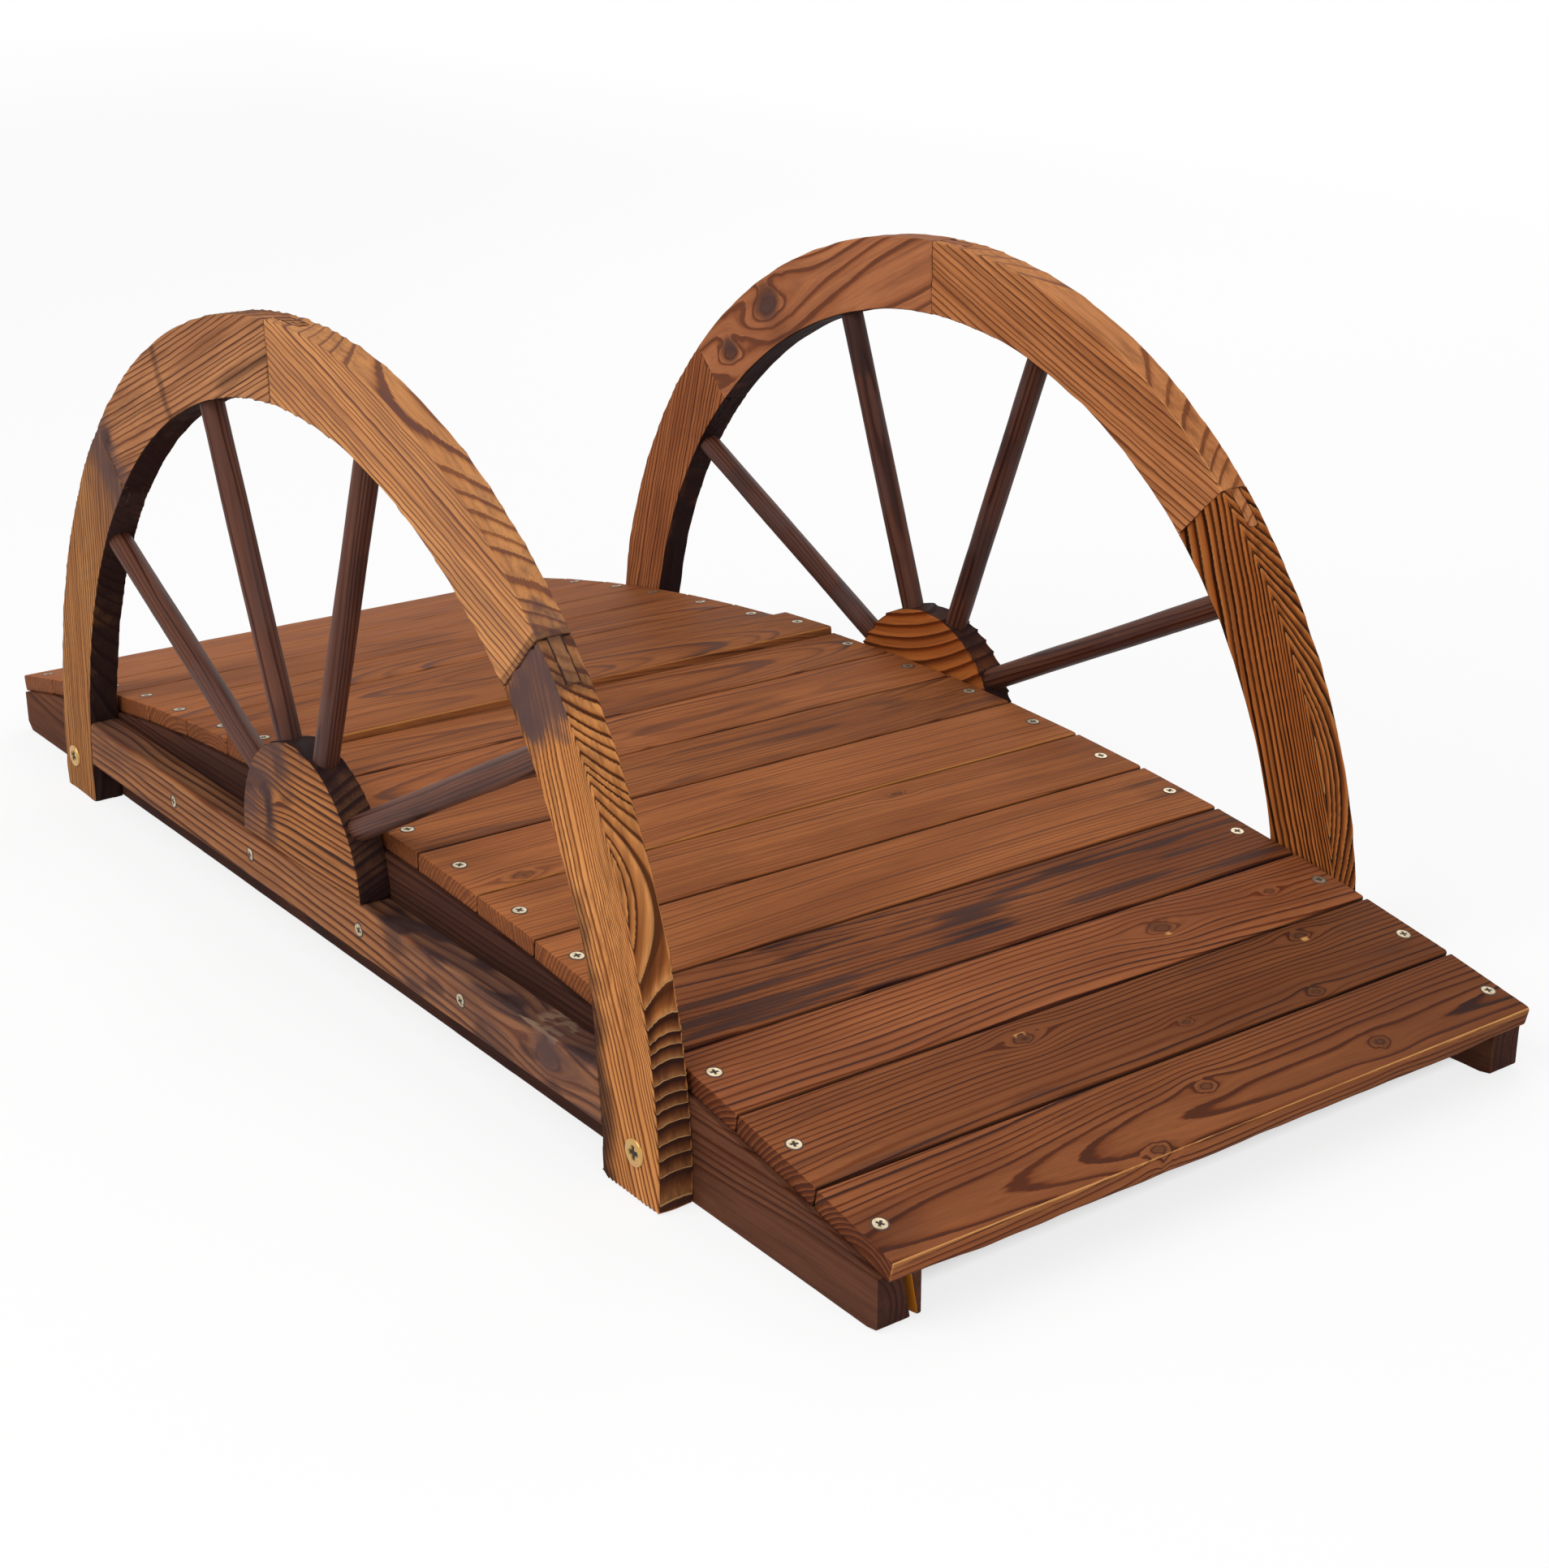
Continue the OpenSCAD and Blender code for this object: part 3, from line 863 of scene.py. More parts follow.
# Rows along, across and deep; the two felloes nearest the camera take closer rows
FELLOE_STEPS = (3.0 * MM, 1.9 * MM, 1.4 * MM)
FRONT_FELLOE_STEPS = (1.7 * MM, 1.3 * MM, 1.2 * MM)
FRONT_FELLOES = ((NEAR, 1), (NEAR, 2))
FELLOE_EDGES = (0.3 * MM, RIM_EDGE, RIM_EDGE)
# Depths of a tenon, and of the two cheeks beside its slot, from the rim's middle
TENON = (-TENON_THICK / 2, TENON_THICK / 2)
SLOT_HALF = TENON_THICK / 2 + SLOT_GAP
CHEEKS = ((-RIM_THICK / 2, -SLOT_HALF), (SLOT_HALF, RIM_THICK / 2))
# The near front foot is wider on its inner side than the rim, and its lower edge is worn into notches
FOOT_FLARE = 4.3 * MM
FOOT_CUT = 6 * MM
FOOT_NOTCH = 1.5 * MM
NOTCH_STEP = 4.2 * MM


def shifted(angle, length):
    """An end moved along the rim by a length measured at the rim's middle."""
    return lambda radius: angle(radius) + length / RIM_MID


def ragged_end(angle, gap):
    """An end drawn back by a gap that varies across the rim."""
    return lambda radius: angle(radius) - gap * (1 + 0.9 * noise_along(radius / 0.004, 9)) / RIM_MID


def felloe_blocks(side, k):
    """A felloe's arc, with cheeks at its slotted end and a tenon at the other."""
    low, high = felloe_ends(side, k)
    slot_high = k in (1, 2)
    slot_low = k == 4
    body_low = shifted(low, TENON_LEN) if slot_low else low
    body_high = shifted(high, -TENON_LEN) if slot_high else high
    gap = OPEN_JOINT_GAP if (side, k) == (NEAR, 1) else JOINT_GAP
    # Tenons and cheeks: their depth, where they start and stop, and whether they join the arc at their start
    ends = []
    for cheek in CHEEKS:
        if slot_high:
            ends.append((cheek, body_high, ragged_end(high, gap), True))
        if slot_low:
            ends.append((cheek, shifted(low, JOINT_GAP), body_low, False))
    if k in (2, 3):
        ends.append((TENON, shifted(low, -TENON_LEN), low, False))
    if k == 3:
        ends.append((TENON, high, shifted(high, TENON_LEN), True))
    place = (rim_centre(side, k), side * WHEEL_Y)
    steps = FRONT_FELLOE_STEPS if (side, k) in FRONT_FELLOES else FELLOE_STEPS
    size = (RIM_MID * (body_high(RIM_MID) - body_low(RIM_MID)), RIM_WIDTH, RIM_THICK)
    arc = rounded_block(size, FELLOE_EDGES, steps, slot_low, slot_high)
    blocks = [bend(arc, *place, body_low, body_high)]
    size = (TENON_LEN, RIM_WIDTH, RIM_THICK)
    for depth, start, stop, after in ends:
        block = rounded_block(size, FELLOE_EDGES, steps, after, not after, depth)
        blocks.append(bend(block, *place, start, stop))
    points, quads, edge = weld(*join_blocks(blocks))
    if (side, k) == (NEAR, 1):
        points = shape_foot(points)
    return points, quads, edge


def foot_flare(height):
    return FOOT_FLARE * fall(height, 0.07, 0.14)


def shape_foot(points):
    """Widens the near front foot inwards, takes off its inner corner and notches its lower edge."""
    centre = rim_centre(NEAR, 1)
    radius = np.hypot(points[:, 0] - centre[0], points[:, 2] - centre[1])
    inner_share = np.clip((RIM_R - radius) / RIM_WIDTH, 0, 1)
    shaped = points.copy()
    shaped[:, 0] -= foot_flare(points[:, 2]) * inner_share
    inner_x = shaped[:, 0] - (centre[0] + RIM_INNER - FOOT_FLARE)
    corner = 0.7 * np.clip(FOOT_CUT - inner_x, 0, None)
    notch = FOOT_NOTCH * (0.5 + 0.5 * np.cos(2 * math.pi * inner_x / NOTCH_STEP))
    shaped[:, 2] = np.maximum(points[:, 2], np.maximum(corner, notch))
    return shaped


# For each felloe: the pith's place outwards and across from the felloe's middle, ring spacing, turn of
# the grain in degrees, relief, weight of the lines where rings lie flat in the surface, and tint
FELLOE_LOOKS = {
    (NEAR, 1): (-0.130, 0.000, 4.6 * MM, -0.3, 1.9 * MM, 1.0, 0.85),
    (NEAR, 2): (-0.150, -0.033, 5.0 * MM, 1.0, 1.3 * MM, -0.2, 0.92),
    (NEAR, 3): (-0.140, -0.040, 4.4 * MM, 0.0, 1.2 * MM, 0.2, 0.58),
    (NEAR, 4): (-0.170, 0.030, 4.2 * MM, 18.0, 1.2 * MM, 0.2, 0.39),
    (FAR, 1): (-0.100, 0.052, 4.8 * MM, -3.0, 1.2 * MM, 1.3, 0.74),
    (FAR, 2): (-0.150, 0.040, 5.2 * MM, 0.0, 1.2 * MM, -0.3, 0.84),
    (FAR, 3): (-0.030, -0.060, 6.0 * MM, 3.0, 0.9 * MM, 0.0, 0.78),
    (FAR, 4): (-0.120, 0.010, 4.2 * MM, 7.0, 1.2 * MM, 0.5, 0.62),
}
# More about how the rings of some felloes run
FELLOE_GROWTH = {
    (NEAR, 1): dict(drift=(0.034, -0.090, 0.060), core=0.136, tighten=85, wave=0.5 * MM),
    (NEAR, 2): dict(core=0.150, tighten=20),
    (FAR, 1): dict(core=0.114, tighten=55, wave=0.4 * MM),
}
# Relief where the rings stand upright in the surface
SIDE_RELIEF = 0.12 * MM
FRONT_SIDE_RELIEF = 0.08 * MM
# Knots: places along and outwards from the felloe's middle, and radius
FELLOE_KNOTS = {(FAR, 3): ((37 * MM, 5 * MM, 14 * MM), (109 * MM, -14 * MM, 10 * MM))}


class RimPlaces:
    """Where points lie on a half wheel, in degrees and from its centre, and which faces they are on."""

    def __init__(self, side, centre, points, normals):
        out = points[:, [0, 2]] - centre
        self.points = points
        self.radius = np.linalg.norm(out, axis=1)
        self.angle = np.degrees(np.arctan2(out[:, 1], out[:, 0]))
        self.inward = -(normals[:, 0] * out[:, 0] + normals[:, 2] * out[:, 1]) / self.radius
        self.sideways = np.abs(normals[:, 1])
        self.side_face = smooth(side * normals[:, 1], 0.4, 0.8)
        self.from_middle = points[:, 1] - side * WHEEL_Y
        self.blot = noise(points / 0.012, 77)


def rim_marks(masks, at):
    """Black inner face, and slot walls darkened both as dark joint lines and as painted shade in the joints'
    gaps, which every felloe has.
    """
    inside = smooth(RIM_THICK / 2 - np.abs(at.from_middle), 1.5 * MM, 3 * MM)
    slot_wall = smooth(at.sideways, 0.3, 0.6) * inside
    at_inner = fall(at.radius, RIM_INNER + 0.3 * MM, RIM_INNER + 1.2 * MM) * fall(at.sideways, 0.4, 0.8)
    inner_face = np.maximum(smooth(at.inward, 0.3, 0.7), at_inner)
    bare_highlight = (1 - inner_face) * (1 - slot_wall)
    # Painted shade: slot walls, seen through the joints' gaps, are blackened as if in shadow; this also draws
    # dark joint lines.
    masks["char"] += (0.74 + 0.12 * at.blot) * inner_face + 0.8 * slot_wall
    masks["flat"] *= bare_highlight
    masks["wear"] *= bare_highlight
    masks["hold"] += inside


def near_joint_patch(masks, at):
    """Sooty patch below the near wheel's front joint."""
    high_up = smooth(at.angle + 0.9 * at.blot, 34.0, 37.4)
    outer_part = smooth(at.radius + 6 * MM * at.blot, 403 * MM, 419 * MM)
    masks["grime"] += (1.55 + 0.6 * at.blot) * high_up * outer_part * at.side_face
    masks["char"] += (0.46 + 0.3 * at.blot) * high_up * at.side_face
    outer_end = smooth(at.angle + 1.2 * at.blot, 34, 39) * (1 - at.side_face)
    masks["char"] += (0.50 + 0.25 * at.blot) * outer_end
    masks["grime"] += 0.45 * outer_end
    masks["flat"] *= 1 - 1.9 * outer_end
    masks["wear"] *= 1 - 0.8 * outer_end


def near_front_marks(masks, at):
    """The patch, a charred foot, fainter lines on the side face and a dark band along its inner edge."""
    near_joint_patch(masks, at)
    masks["cut"] -= 0.45 * at.side_face
    masks["flat"] *= 0.40 + 0.80 * fall(at.angle, 12, 24)
    masks["char"] += 0.48 * fall(at.angle - 2 * at.blot, 9, 19) * smooth(-at.inward, 0.5, 0.9)
    masks["wear"] *= 1 - 0.8 * smooth(at.from_middle, 0, 8 * MM)
    band = bell(at.radius + 5 * MM * at.blot, RIM_INNER - 4 * MM, 17 * MM) * fall(at.angle, 20, 30)
    masks["char"] += 0.62 * band * at.side_face


def near_top_marks(masks, at):
    """Scorched tenon in the near wheel's front joint, and grime above that joint."""
    joint = JOINT_DEGREES[NEAR][0]
    tenon = fall(at.angle, joint, joint + 0.4)
    above = fall(at.angle - 1.5 * at.blot, joint + 1.5, joint + 5.5) * (1 - at.side_face)
    masks["grime"] += 0.6 * above * smooth(at.blot, -0.5, 0.2) * (1 - tenon) + 0.45 * tenon
    masks["char"] += (0.50 + 0.25 * at.blot) * tenon
    masks["char"] += 0.5 * bell(at.angle, joint + 0.4, 0.35) * (1 - tenon)
    masks["flat"] -= tenon * (1 + masks["flat"])
    masks["wear"] *= 1 - tenon


# Dark smudges at the near wheel's back joint: angle in degrees and radius, their reach in both, and strength
NEAR_SMUDGES = ((133.2, 447 * MM, 1.3, 12 * MM, 0.75), (135.0, 427 * MM, 1.0, 9 * MM, 0.60))


def near_back_marks(masks, at):
    """Dark band, wedge and smudges on the near wheel's third felloe, and grime about its back joint."""
    joint = JOINT_DEGREES[NEAR][2]
    middle = (JOINT_DEGREES[NEAR][1] + joint) / 2
    chord = at.radius * np.cos(np.radians(at.angle - middle))
    band = 0.45 * bell(at.angle, 116.2 + 0.3 * at.blot, 1.0)
    wedge = 0.50 * bell(chord, 408 * MM, 7 * MM) * fall(at.angle, 101, 106)
    masks["char"] += (band + wedge) * at.side_face
    for angle, radius, wide, tall, strength in NEAR_SMUDGES:
        masks["char"] += strength * bell(at.angle, angle, wide) * bell(at.radius, radius, tall)
    masks["grime"] += 0.8 * bell(at.angle, joint + 0.5 + at.blot, 4.0) * at.side_face
    masks["grime"] += 0.35 * fall(at.angle, joint + 4, joint + 32) * smooth(at.angle, joint, joint + 2)


# Smoky spots about the far wheel's knots: angle in degrees and radius, and their reach in both
FAR_SMUDGES = ((120.3, 441 * MM, 2.3, 17 * MM), (130.0, 434 * MM, 1.6, 12 * MM))


def far_back_marks(masks, at):
    """Scorched patches on the far wheel's back half, and smoky spots about its knots."""
    masks["char"] += 0.35 * smooth(noise(at.points / 0.05, 31), 0.1, 0.8)
    for angle, radius, wide, tall in FAR_SMUDGES:
        smudge = bell(at.angle, angle, wide) * bell(at.radius, radius, tall)
        masks["grime"] += (1.0 + 0.5 * at.blot) * smudge
        masks["char"] += 0.35 * smudge


def far_top_marks(masks, at):
    """Brighter edges."""
    masks["wear"] *= 1.5


FELLOE_MARKS = {
    (NEAR, 1): near_front_marks,
    (NEAR, 2): near_top_marks,
    (NEAR, 3): near_back_marks,
    (NEAR, 4): near_back_marks,
    (FAR, 2): far_top_marks,
    (FAR, 3): far_back_marks,
    (FAR, 4): far_back_marks,
}


def felloe_marks(side, k):
    def marks(masks, points, normals):
        at = RimPlaces(side, rim_centre(side, k), points, normals)
        rim_marks(masks, at)
        if (side, k) in FELLOE_MARKS:
            FELLOE_MARKS[side, k](masks, at)
    return marks


def felloe(side_name, k):
    side = SIDES[side_name]
    name = "%s_felloe_%d" % (side_name, k)
    shape = felloe_blocks(side, k)
    low, high = felloe_ends(side, k)
    middle = (low(RIM_MID) + high(RIM_MID)) / 2
    centre = rim_centre(side, k)
    pith_out, pith_across, spacing, turn, relief, heavy, tint = FELLOE_LOOKS[side, k]
    middle = middle + math.radians(turn)
    out = np.array([math.cos(middle), 0, math.sin(middle)])
    grain = np.array([-math.sin(middle), 0, math.cos(middle)])
    origin = np.array([centre[0], side * WHEEL_Y, centre[1]]) + RIM_MID * out
    growth = {"wave": 0.8 * MM, **FELLOE_GROWTH.get((side, k), {})}
    low_relief = FRONT_SIDE_RELIEF if (side, k) in FRONT_FELLOES else SIDE_RELIEF
    wood = Wood(origin, grain, out, (pith_out, pith_across), spacing, 20 * k + 5 * side, tint=tint,
                heavy=heavy, wander=3 * MM, relief=(low_relief, relief), lumps=0.5 * MM, arris=0.7,
                knots=FELLOE_KNOTS.get((side, k), ()), **growth)
    return wood_piece(name, shape, wood, RIM_WOOD[side, k], felloe_marks(side, k))


# Rails, hubs and spokes

RAIL_STEPS = (5.0 * MM, 1.8 * MM, 2.2 * MM)
RAIL_EDGES = (0.8 * MM, RAIL_EDGE, RAIL_EDGE)
RAIL_MIDDLE = RAIL_LOW + RAIL_HEIGHT / 2
# The near rail's knot: its place along the bridge and up from the rail's middle, and its radius
RAIL_KNOT = (322 * MM, 6 * MM, 9 * MM)


def rail_end(side, way, height):
    """Where a rail's end meets the rim, at each height."""
    k = 1 if way > 0 else 4
    centre = rim_centre(side, k)
    end = centre[0] + way * np.sqrt(RIM_INNER ** 2 - (height - centre[1]) ** 2)
    if (side, way) == (NEAR, 1):
        end = end - foot_flare(height)
    return end


def rail(side_name):
    side = SIDES[side_name]
    name = side_name + "_rail"
    low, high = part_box(name)
    size = (high.x - low.x, RAIL_HEIGHT, RIM_THICK)
    points, quads, edge = rounded_block(size, RAIL_EDGES, RAIL_STEPS)
    share = points[:, 0] / size[0] + 0.5
    wane = noise_along(points[:, 0] / 0.06, 41 + side) * edge
    height = RAIL_MIDDLE + points[:, 1] * (1 - 0.05 * np.abs(wane))
    start = rail_end(side, side, height)
    stop = rail_end(side, -side, height)
    placed = np.stack([start + share * (stop - start), side * (WHEEL_Y + points[:, 2]), height], axis=1)
    origin = (0, side * WHEEL_Y, RAIL_MIDDLE)
    knots = (RAIL_KNOT,) if side == NEAR else ()
    wood = Wood(origin, (1, 0, 0), (0, 0, 1), (-0.055, 0.05 * side), 5.0 * MM, 61 + side, slope=0.03,
                tint=0.6, wander=5 * MM, wave=1.4 * MM, relief=(0.15 * MM, 0.7 * MM), knots=knots)
    return wood_piece(name, (placed, quads, edge), wood, RAIL_WOOD, rail_marks)


def rail_marks(masks, spots, normals):
    """Dark top and smoky ends, and on the near rail a torn bare patch beside its grey knot."""
    x, y, z = spots.T
    blot = noise(spots / np.array([0.03, 0.01, 0.01]), 45)
    torn = noise(spots / np.array([0.006, 0.003, 0.003]), 43)
    smoky = smooth(x + 0.03 * blot, 0.06, 0.16)
    masks["char"] += 0.45 * smooth(normals[:, 2], 0.5, 0.9)
    masks["grime"] += 0.5 * smoky + 0.35 * smooth(-x + 0.03 * blot, 0.22, 0.34)
    masks["char"] += 0.5 * smoky * smooth(blot, -0.3, 0.6)
    near_side = y < 0
    patch = bell(x, 0.308, 0.017) * bell(z, RAIL_TOP, 0.004) + bell(x, 0.328, 0.008) * bell(z, 0.069, 0.005)
    masks["wear"] += 1.2 * patch * smooth(torn, -0.6, 0.3) * near_side
    masks["grime"] += 0.8 * bell(x, RAIL_KNOT[0], 0.011) * bell(z, 0.059, 0.010) * near_side


HUB_STEPS = (1.7 * MM, 1.7 * MM, 1.9 * MM)
# The near hub's rings are close and level; the far hub is worn into a few steps that sag in the middle
HUB_LOOKS = {
    NEAR: dict(grain=(1, 0, 0), pith=(-0.16, -0.07), spacing=5.4 * MM, relief=(0.3 * MM, 1.0 * MM),
               wave=1.2 * MM, knots=((-0.051, 0.044, 6 * MM),)),
    FAR: dict(grain=(1, 0, 0.27), pith=(0.24, 0.03), spacing=11.5 * MM, relief=(2.0 * MM, 2.2 * MM),
              wave=0.5 * MM, sag=-0.126),
}


def hub_marks(side):
    def marks(masks, spots, normals):
        right = spots[:, 0] - HUB_X[side]
        high = spots[:, 2] - RAIL_TOP
        rim = smooth((normals[:, 0] * right + normals[:, 2] * high) / HUB_R, 0.5, 0.9)
        masks["char"] += 0.68 * rim
        masks["wear"] *= 1.3 * smooth(right, -0.06, 0.05)
        if side == FAR:
            # Darker at the lower right of the far hub's face.
            masks["char"] += 0.6 * smooth(right, 0.062, 0.078) * fall(high, 0.03, 0.05)
            return
        blot = noise(spots / 0.02, 47)
        smoky = smooth(0.6 * high - right + 0.02 * blot, 0.02, 0.09)
        masks["grime"] += 0.75 * smoky * (1 - rim)
        masks["char"] += 0.55 * smoky * smooth(blot, -0.3, 0.5)
        masks["char"] += 0.6 * bell(right, -0.047, 0.007) * bell(high, 0.030, 0.014)
        masks["char"] += 0.5 * bell(right, -0.018, 0.012) * bell(high, 0.045, 0.005)
    return marks


def hub(side_name):
    """A half-round block: a rectangle's grid drawn out to a half disc."""
    side = SIDES[side_name]
    name = side_name + "_hub"
    size = (2 * HUB_R, HUB_R, RIM_THICK)
    points, quads, edge = rounded_block(size, (HUB_EDGE, HUB_EDGE, HUB_EDGE), HUB_STEPS)
    across = points[:, 0] / HUB_R
    up = points[:, 1] / HUB_R + 0.5
    x = HUB_X[side] - side * HUB_R * across * np.sqrt(1 - up ** 2 / 2)
    y = side * (WHEEL_Y + points[:, 2])
    z = RAIL_TOP + HUB_R * up * np.sqrt(1 - across ** 2 / 2)
    shape = (np.stack([x, y, z], axis=1), quads, edge)
    origin = (HUB_X[side], side * WHEEL_Y, RAIL_TOP)
    wood = Wood(origin, side=(0, 0, 1), seed=81 + side, tint=0.62, wander=3 * MM, **HUB_LOOKS[side])
    return wood_piece(name, shape, wood, HUB_WOOD[side], hub_marks(side))


SPOKE_SEGMENTS = 36
SPOKE_STEP = 4.5 * MM


def spoke_line(side, k):
    """The two ends of a spoke's axis, in the wheel's plane."""
    angle = math.radians(SPOKE_DEGREES[side][k - 1])
    way = np.array([math.cos(angle), math.sin(angle)])
    focus = np.array([HUB_X[side], RAIL_TOP + SPOKE_RISE])
    to_hub = math.sqrt(HUB_R ** 2 - (SPOKE_RISE * way[0]) ** 2) - SPOKE_RISE * way[1]
    from_centre = focus - np.array([WHEEL_X, WHEEL_Z])
    along = from_centre @ way
    to_rim = math.sqrt(along ** 2 + RIM_INNER ** 2 - from_centre @ from_centre) - along
    return focus + (to_hub - HUB_SEAT) * way, focus + (to_rim + RIM_SEAT) * way


def spoke_tube(origin, grain, across, length, seed):
    """The skin of an uneven dowel."""
    third = np.cross(grain, across)
    rows = round(length / SPOKE_STEP) + 1
    turn = np.linspace(0, 2 * math.pi, SPOKE_SEGMENTS, endpoint=False)
    along = np.repeat(np.linspace(0, length, rows), SPOKE_SEGMENTS)[:, None]
    angle = np.tile(turn, rows)[:, None]
    uneven = noise(np.hstack([along / 0.05, np.cos(angle), np.sin(angle)]), seed)[:, None]
    radius = SPOKE_R - 0.25 * MM + 0.3 * MM * uneven
    points = origin + along * grain + radius * (np.cos(angle) * across + np.sin(angle) * third)
    return points, ring_quads(rows, SPOKE_SEGMENTS), np.zeros(len(points))


def spoke(side_name, k):
    side = SIDES[side_name]
    name = "%s_spoke_%d" % (side_name, k)
    seed = 500 + 20 * k + side
    start, stop = spoke_line(side, k)
    origin = np.array([start[0], side * WHEEL_Y, start[1]])
    grain = unit([stop[0] - start[0], 0, stop[1] - start[1]])
    across = np.array([0, 1, 0])
    rng = np.random.default_rng(seed)
    pith = (rng.uniform(-0.02, 0.02), rng.uniform(-0.03, 0.03))
    tint = rng.uniform(0.45, 0.7) - (0.15 if side == FAR else 0)
    wood = Wood(origin, grain, across, pith, 2.6 * MM, seed, tint=tint, relief=(0.08 * MM, 0.16 * MM))

    def marks(masks, spots, normals):
        stripes = noise(np.stack([(spots - origin) @ grain / 0.06, spots @ across / 0.006], axis=1), seed + 7)
        masks["wear"] += 0.6 * smooth(noise(spots / 0.02, seed + 9), 0.35, 0.9)
        masks["char"] += 0.4 * smooth(noise(spots / 0.04, seed + 8), 0.1, 0.8)
        masks["grime"] += 0.45 * smooth(stripes, 0.1, 0.7)
    shape = spoke_tube(origin, grain, across, np.linalg.norm(stop - start), seed)
    return wood_piece(name, shape, wood, SPOKE_WOOD, marks)


# Side beams

# Edges and rows of a beam: in metres along it, and as shares of its height and thickness
BEAM_EDGES = (1.0 * MM, 0.02, 0.05)
BEAM_STEPS = (8.0 * MM, 0.045, 0.12)
SPLIT_ROOT = BEAM_HALF - SPLIT_LEN
DECK_DROP = DECK_TOP - DECK_END_TOP
DECK_R = (DECK_HALF ** 2 + DECK_DROP ** 2) / (2 * DECK_DROP)
SEAT_R = DECK_R - BOARD_THICK


def seat_height(x):
    return DECK_TOP - DECK_R + np.sqrt(SEAT_R ** 2 - x ** 2)


def beam_foot(x):
    """Height of a beam's lower edge, which is cut off at its ends."""
    back = np.clip(BACK_CHAMFER - (x + BEAM_HALF), 0, None)
    front = np.clip(FRONT_CHAMFER - (BEAM_HALF - x), 0, None)
    return back + front


def beam_block(side, low_x, high_x, inner, outer, open_low=False, open_high=False):
    """A stretch of a beam between two faces, given as distances from its outer face at each height."""
    size = (high_x - low_x, 1.0, 1.0)
    points, quads, edge = rounded_block(size, BEAM_EDGES, BEAM_STEPS, open_low, open_high)
    x = (low_x + high_x) / 2 - side * points[:, 0]
    foot = beam_foot(x)
    z = foot + (points[:, 1] + 0.5) * (seat_height(x) - foot)
    y = inner(x, z) + (points[:, 2] + 0.5) * (outer(x, z) - inner(x, z))
    return np.stack([x, side * (BEAM_OUTER_Y - y), z], axis=1), quads, edge


def outer_face(x, z):
    return 0 * x


def inner_face(x, z):
    return BEAM_THICK + 0 * x


def split_open(x):
    """How far the near beam's split stands open."""
    return SPLIT_OPEN * np.clip((x - SPLIT_ROOT) / SPLIT_LEN, 0, 1)


def split_face(x, z):
    """Where the split runs through the near beam, before it opened."""
    return np.where(x > SPLIT_ROOT, BEAM_THICK - SPLIT_LOW - z * math.tan(SPLIT_LEAN), BEAM_THICK)


def sliver_outer(x, z):
    return split_face(x, z) + split_open(x)


def sliver_inner(x, z):
    return BEAM_THICK + split_open(x)


def beam_shape(side):
    if side == FAR:
        return beam_block(side, -BEAM_HALF, BEAM_HALF, inner_face, outer_face)
    return join_blocks([
        beam_block(side, -BEAM_HALF, SPLIT_ROOT, inner_face, outer_face, open_high=True),
        beam_block(side, SPLIT_ROOT, BEAM_HALF, split_face, outer_face, open_low=True),
        beam_block(side, SPLIT_ROOT, BEAM_HALF, sliver_inner, sliver_outer, open_low=True),
    ])


def beam_marks(side):
    def marks(masks, spots, normals):
        x, y, z = spots.T
        masks["char"] += 0.5 * smooth(np.abs(normals[:, 0]), 0.7, 0.95)
        # Painted shade: both beams are darkened along their middle, where they lie under the deck and behind
        # the rails and wheels.
        masks["char"] += 0.48 * fall(np.abs(x), 0.43, 0.46)
        if side == NEAR:
            behind = (x > SPLIT_ROOT) & (y + BEAM_OUTER_Y > split_face(x, z) - 0.4 * MM)
            masks["wear"] += 2.0 * (behind & (normals[:, 1] < -0.5))
    return marks


def beam(side_name):
    side = SIDES[side_name]
    origin = (0, side * (BEAM_OUTER_Y - BEAM_THICK / 2), 0.04)
    wood = Wood(origin, (1, 0, 0), (0, 0, 1), (-0.03, -0.05 * side), 5.0 * MM, 141 + side, slope=0.02,
                wander=6 * MM, wave=1.5 * MM, relief=(0.08 * MM, 0.4 * MM), tint=0.55)
    return wood_piece(side_name + "_beam", beam_shape(side), wood, BEAM_WOOD, beam_marks(side))


# Screws

SCREW_R = 4.7 * MM
FOOT_SCREW_R = 9.0 * MM
FOOT_HEAD = dict(crown=0.6 * MM, cross=0.56, proud=1.3 * MM)
NEAR_SCREW_Y = -257 * MM
FAR_SCREW_Y = 258 * MM
# Places of the screws along the bridge, in mm, board by board from the front
NEAR_SCREW_X = (603, 525, 446, 372, 294, 223, 143, 70, -8, -88, -160, -232, -309, -385, -455, -528, -604)
FAR_SCREW_X = (606, 533, 455, 376, 304, 231.5, 153, 72.5, -5, -87, -157, -229, -306, -386, -453, -530, -604)

# Painted shade in the cross recess of a screw head.
RECESS_SHADE_COLOR = rgb(0.028, 0.018, 0.012)


